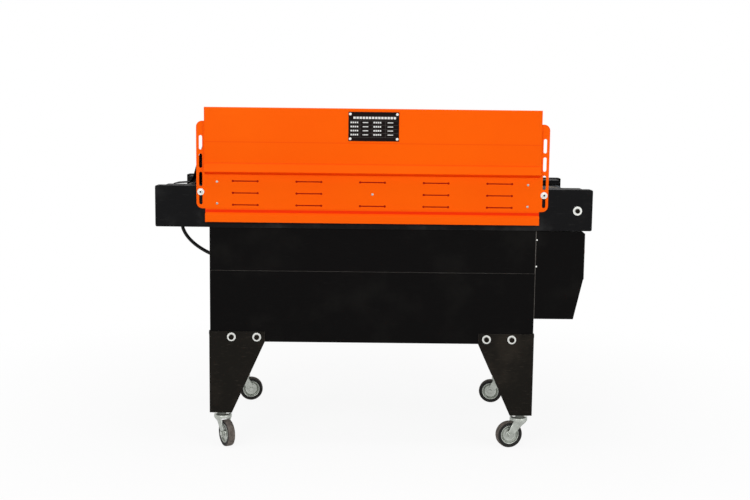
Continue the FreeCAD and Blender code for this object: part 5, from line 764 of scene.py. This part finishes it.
def strip_curtain(name, rod, cut, drop, seed, dragged=None):
    """Eight strips cut to one length below a hem, in mm. Each strip's line is the drop with its foot a little
    off the others'; the two nearest the front may follow a line of their own, dragged further out. The line
    is cut at the length, and hollowed across by a half sine that grows from nothing at the hem."""
    chance = np.random.default_rng(seed)
    rod_x, rod_height = rod
    rows, columns, pitch, half_width = 36, 7, 56.5, 226
    blocks = []
    for index in range(8):
        foot, lift = chance.uniform(-5, 5), chance.uniform(0, 1.5)
        corners = np.array([(rod_x, rod_height - 3.9), *(dragged if dragged and index < 2 else drop)], float)
        corners[-2:] += [(foot / 2, lift), (foot, lift)]
        line = smooth_drop(corners, 200)
        along = np.concatenate([[0], np.cumsum(np.linalg.norm(np.diff(line, axis=0), axis=1))])
        line = np.stack([np.interp(np.linspace(0, cut, rows), along, line[:, axis]) for axis in (0, 1)], -1)
        across = np.linspace(-half_width + pitch * index + 1, -half_width + pitch * (index + 1) - 1, columns)
        cup = 1.2 * np.sin(np.linspace(0, np.pi, columns))[None, :] * np.linspace(0, 1, rows)[:, None]
        x = np.broadcast_to(line[:, :1], (rows, columns)) - cup
        y = np.broadcast_to(across, (rows, columns))
        z = np.broadcast_to(line[:, 1:], (rows, columns))
        blocks.append((np.stack([x, y, z], -1).reshape(-1, 3) / 1000, grid_faces(rows, columns)))
    strips = put_together(name + "_strips", blocks, curtain_cloth, name, 60, closed=False)
    thick = strips.modifiers.new("cloth_thickness", "SOLIDIFY")
    thick.thickness, thick.offset = 0.0016, 0.0
    hem = put_together(name + "_hem", [
        turned([(3.05, 0), (4.65, 0), (4.65, 452), (3.05, 452)], (rod_x / 1000, -0.226, rod_height / 1000),
               (0, 1, 0), 32, True)], curtain_cloth, name, 40)
    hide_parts(name)


strip_curtain("outlet_curtain", (-627, 1206), 290,
              [(-644, 1135), (-672, 1060), (-692, 961), (-730, 959.5), (-780, 959)], 4,
              [(-644, 1135), (-670, 1060), (-690, 984), (-728, 982), (-776, 978)])
strip_curtain("inlet_curtain", (595, 1188.5), 268, [(584, 1101), (551, 1008), (464, 964)], 9)
edge_broken("curtain_rods", zinc_plate, width=0.0004)


# Drive: worm gear motor
# Cast gearbox on the drum's shaft and a ribbed motor with a fan cowl, grey enamel, hung beside the belt.
# The castings' edges are rounded by 1.5 mm.
gear_motor = edge_broken("gear_motor", cast_grey, width=0.0015, segments=3)


# Controls
# Moulded black switches with steel rings, a red mushroom button, and a panel controller with a display,
# all set in holes of the control panel. The hose's glands are moulded from the same black plastic.
# ABS is black with a fine grain, drawn 1 mm wide so that it shows, and the red button is smoother and glossier.
abs_black = mottled("abs_moulded_black", ("181818", "262626"), 900.0, 2.0, gloss=(0.36, 0.5), IOR=1.53)
abs_red = mottled("abs_moulded_red", ("b3120e", "c81b14"), 60.0, 2.0, Roughness=0.28, IOR=1.53)
for node, material, slot in (
        ("temperature_controller", abs_black, "black_plastic"), ("power_switch", abs_black, "black_plastic"),
        ("heater_switch", abs_black, "black_plastic"), ("speed_knob", abs_black, "black_plastic"),
        ("stop_button", abs_red, "red_plastic"), ("switch_bezels", bright_steel, "black_plastic"),
        ("hose_glands", abs_black, "black_plastic")):
    edge_broken(node, material, width=0.0008, segments=3)


# Panel's dials and display
# Round legend plates of anodised aluminium under the switches, a yellow one under the stop button, and a
# smoked window with lit digits on the controller, with four keys below it.
panel_face, control_row = 778, 742
stop_y, power_y, heater_y, speed_y = -255, -150, 110, 215


def panel_ring(places, outer, thick):
    """Flat rings on the panel's face, each round a switch's own ring."""
    return [turned(washer(outer, 15.3, thick), (panel_face / 1000, y / 1000, control_row / 1000), (1, 0, 0), 64,
                   True) for y in places]


def lettered(word, height, across, up):
    """A word of the plain built-in font as triangles facing +X, standing 0.9 mm off the panel: its middle at
    a place in mm, u along Y and v along Z, 0.16 mm thick."""
    curve = bpy.data.curves.new("word", "FONT")
    curve.body, curve.size, curve.extrude, curve.resolution_u = word, height / 720, 0.00008, 3
    curve.align_x, curve.align_y = "CENTER", "CENTER"
    word_object = bpy.data.objects.new("word", curve)
    drawn = bpy.data.meshes.new_from_object(word_object)
    shape = bmesh.new()
    shape.from_mesh(drawn)
    bmesh.ops.triangulate(shape, faces=shape.faces)
    shape.to_mesh(drawn)
    shape.free()
    flat = np.empty(len(drawn.vertices) * 3)
    drawn.vertices.foreach_get("co", flat)
    flat = flat.reshape(-1, 3)
    corners = np.empty(len(drawn.loops), int)
    drawn.loops.foreach_get("vertex_index", corners)
    points = np.stack([flat[:, 2] + 0.7789, flat[:, 0] + across / 1000, flat[:, 1] + up / 1000], -1)
    bpy.data.objects.remove(word_object)
    return points, corners.reshape(-1, 3)


def tick(place, angle, low, high, half):
    """A thin bar on the panel from one radius to another round a switch, at an angle from straight up."""
    out = np.array([0, math.sin(angle), math.cos(angle)])
    side = np.array([0, math.cos(angle), -math.sin(angle)])
    middle = np.array([0.7788, place / 1000, control_row / 1000])
    foot = [middle + out * r / 1000 + side * s / 1000 for r, s in (
        (low, -half), (high, -half), (high, half), (low, half))]
    points = np.array(foot + [spot + (0.00016, 0, 0) for spot in foot])
    return points, box_faces


# Printed polycarbonate film is a bright, even yellow under a smooth face.
yellow_print = mottled("polycarbonate_printed_yellow", ("e0b400", "ecc41a"), 300.0, 2.0, Roughness=0.4,
                       IOR=1.58)
put_together("stop_ring", panel_ring([stop_y], 30, 1.0), yellow_print, "frame")
put_together("legend_rings", panel_ring([power_y, heater_y, speed_y], 29, 0.8), plate_black, "frame")

# Angles are from straight up and grow to the left, the way that the knobs turn from rest.
dial_angles = -np.radians(np.linspace(0, 270, 11))
put_together("dial_ticks", [tick(speed_y, angle, 17.5, 21, 0.35) for angle in dial_angles]
             + [tick(y, angle, 17.5, 21, 0.5) for y in (power_y, heater_y) for angle in (0, -math.pi / 2)],
             plate_line, "frame")
legends = [(str(number), 4.2, speed_y, 24.6, angle) for number, angle in enumerate(dial_angles)]
legends += [(word, 5.2, y, 24.5, angle) for y in (power_y, heater_y)
            for word, angle in (("0", 0), ("1", -math.pi / 2))]
put_together("dial_numbers", [
    lettered(word, height, y + out * math.sin(angle), control_row + out * math.cos(angle))
    for word, height, y, out, angle in legends], plate_line, "frame")
for name, body, y, half, near, far, low, high in (
        ("switch_pointers", "power_switch", power_y, 1.1, 799.2, 799.6, 743, 754),
        ("heater_pointer", "heater_switch", heater_y, 1.1, 799.2, 799.6, 743, 754),
        ("speed_pointer", "speed_knob", speed_y, 0.8, 799.7, 799.95, 744, 753)):
    put_together(name, [bar((near, y - half, low), (far, y + half, high))], plate_line, body)

# Cast smoked acrylic is nearly black and glossy enough to mirror a lamp.
smoked = mottled("acrylic_cast_smoked", ("0d0909", "160f0f"), 40.0, 2.0, Roughness=0.08, IOR=1.49,
                 Specular_IOR_Level=0.3)


def lit(name, hex_colour):
    """Light emitting segments behind the window: one even colour that glows."""
    colour = linear(hex_colour)
    return new_material(name, Base_Color=colour, Emission_Color=colour, Emission_Strength=0.8, Roughness=0.4)[0]


window = put_together("display_window", [bar((784, -60, 738), (784.5, 20, 782))], smoked, "frame")
rim = window.modifiers.new("rounded_rim", "BEVEL")
rim.width, rim.segments = 0.0004, 2
lit_segments = {"0": "abcdef", "1": "bc", "5": "acdfg", "6": "acdefg"}


def digits(number, left, low, tall):
    """Seven segment digits: each lit segment is a bar of a cell half as wide as it is tall. A segment's row
    gives its two ends as shares of the cell's width and height."""
    wide, thick = tall * 0.5, tall * 0.11
    rows = {"a": (0, 1, 1, 1), "b": (1, 0.5, 1, 1), "c": (1, 0, 1, 0.5), "d": (0, 0, 1, 0), "e": (0, 0, 0, 0.5),
            "f": (0, 0.5, 0, 1), "g": (0, 0.5, 1, 0.5)}
    blocks = []
    for index, figure in enumerate(number):
        start = left + index * wide * 1.5
        for segment in lit_segments[figure]:
            y0, z0, y1, z1 = rows[segment]
            flat = z0 == z1
            blocks.append(bar(
                (784.5, start + y0 * wide + (thick * 0.6 if flat else -thick / 2),
                 low + z0 * tall + (-thick / 2 if flat else thick * 0.6)),
                (784.62, start + y1 * wide + (-thick * 0.6 if flat else thick / 2),
                 low + z1 * tall + (thick / 2 if flat else -thick * 0.6))))
    return blocks


put_together("display_digits_upper", digits("150", -44, 762.5, 15), lit("light_emitting_red", "ff2a12"), "frame")
put_together("display_digits_lower", digits("160", -39, 744, 11), lit("light_emitting_green", "3ddc3a"), "frame")
keys = put_together("controller_keys", [
    bar((784, y - 7, 706), (785.4, y + 7, 715)) for y in (-50, -30, -10, 10)], cast_grey, "frame")
soft_edge = keys.modifiers.new("rounded_keys", "BEVEL")
soft_edge.width, soft_edge.segments = 0.0006, 3
put_together("panel_screws", [
    turned([(0, 0), (4.5, 0), (4.4, 0.6), (3.6, 1.5), (2.2, 2), (1.6, 2), (1.4, 1), (0, 1)],
           (panel_face / 1000, y / 1000, z / 1000), (1, 0, 0), 24) for y in (-355, 0, 355) for z in (668, 808)],
    zinc_bright, "frame")


# Inside: duct, heaters, blower, liner and insulation
# Zinc coated sheet work around stainless heater tubes and a sheet metal blower. The wool behind the liner is wrapped in
# red silicone coated glass cloth. What lies behind the strips' slits is unknown: patches of that cloth just behind them
# are painted shade, a guess that gives the slits their dark red.
# Hot dip galvanised sheet is a bright grey of flat crystals about 12 mm across.
galvanised, shader = new_material("steel_hot_dip_galvanised", Metallic=1.0)
place = add_node(galvanised, "TexCoord").outputs["Object"]
crystals = add_node(galvanised, "TexVoronoi", {"feature": "F1"}, Vector=place, Scale=85.0)
tone = add_node(galvanised, "MixRGB", Fac=crystals.outputs["Distance"], Color1=linear("a7aaa9"),
                Color2=linear("c4c7c5"))
gloss = add_node(galvanised, "MapRange", Value=crystals.outputs["Distance"], To_Min=0.34, To_Max=0.55)
linked(galvanised, shader, Base_Color=tone.outputs[0], Roughness=gloss.outputs[0])
# The red cloth is matt, and its weave is drawn 4 mm wide so that it shows.
red_cloth_and_painted_shade = mottled("glass_cloth_silicone_coated_red_and_painted_shade", ("9a0400", "b20600"), 240.0, 4.0, bump=(0.4, 0.0006),
                     Roughness=0.6, IOR=1.43, Specular_IOR_Level=0.1)
# Patches of the red cloth just behind the slits are painted shade: the shade inside the slits.
put_together("slit_painted_shade", [
    bar((x - 53.5, side * 381.3 - 0.3, z - 6.5), (x + 53.5, side * 381.3 + 0.3, z + 6.5))
    for x in slit_columns for z in slit_rows for side in (-1, 1)
    if (x, z) != rivet_place], red_cloth_and_painted_shade, "hood")
for node, material in (
        ("jet_duct", galvanised), ("tunnel_liner", galvanised), ("cabinet_floor", galvanised),
        ("blower_housing", galvanised), ("blower_rotor", galvanised), ("blower_motor", cast_grey),
        ("heater_tubes", bright_steel), ("hood_insulation", red_cloth_and_painted_shade)):
    for material_slot in frame["nodes"][node].material_slots:
        material_slot.material = material
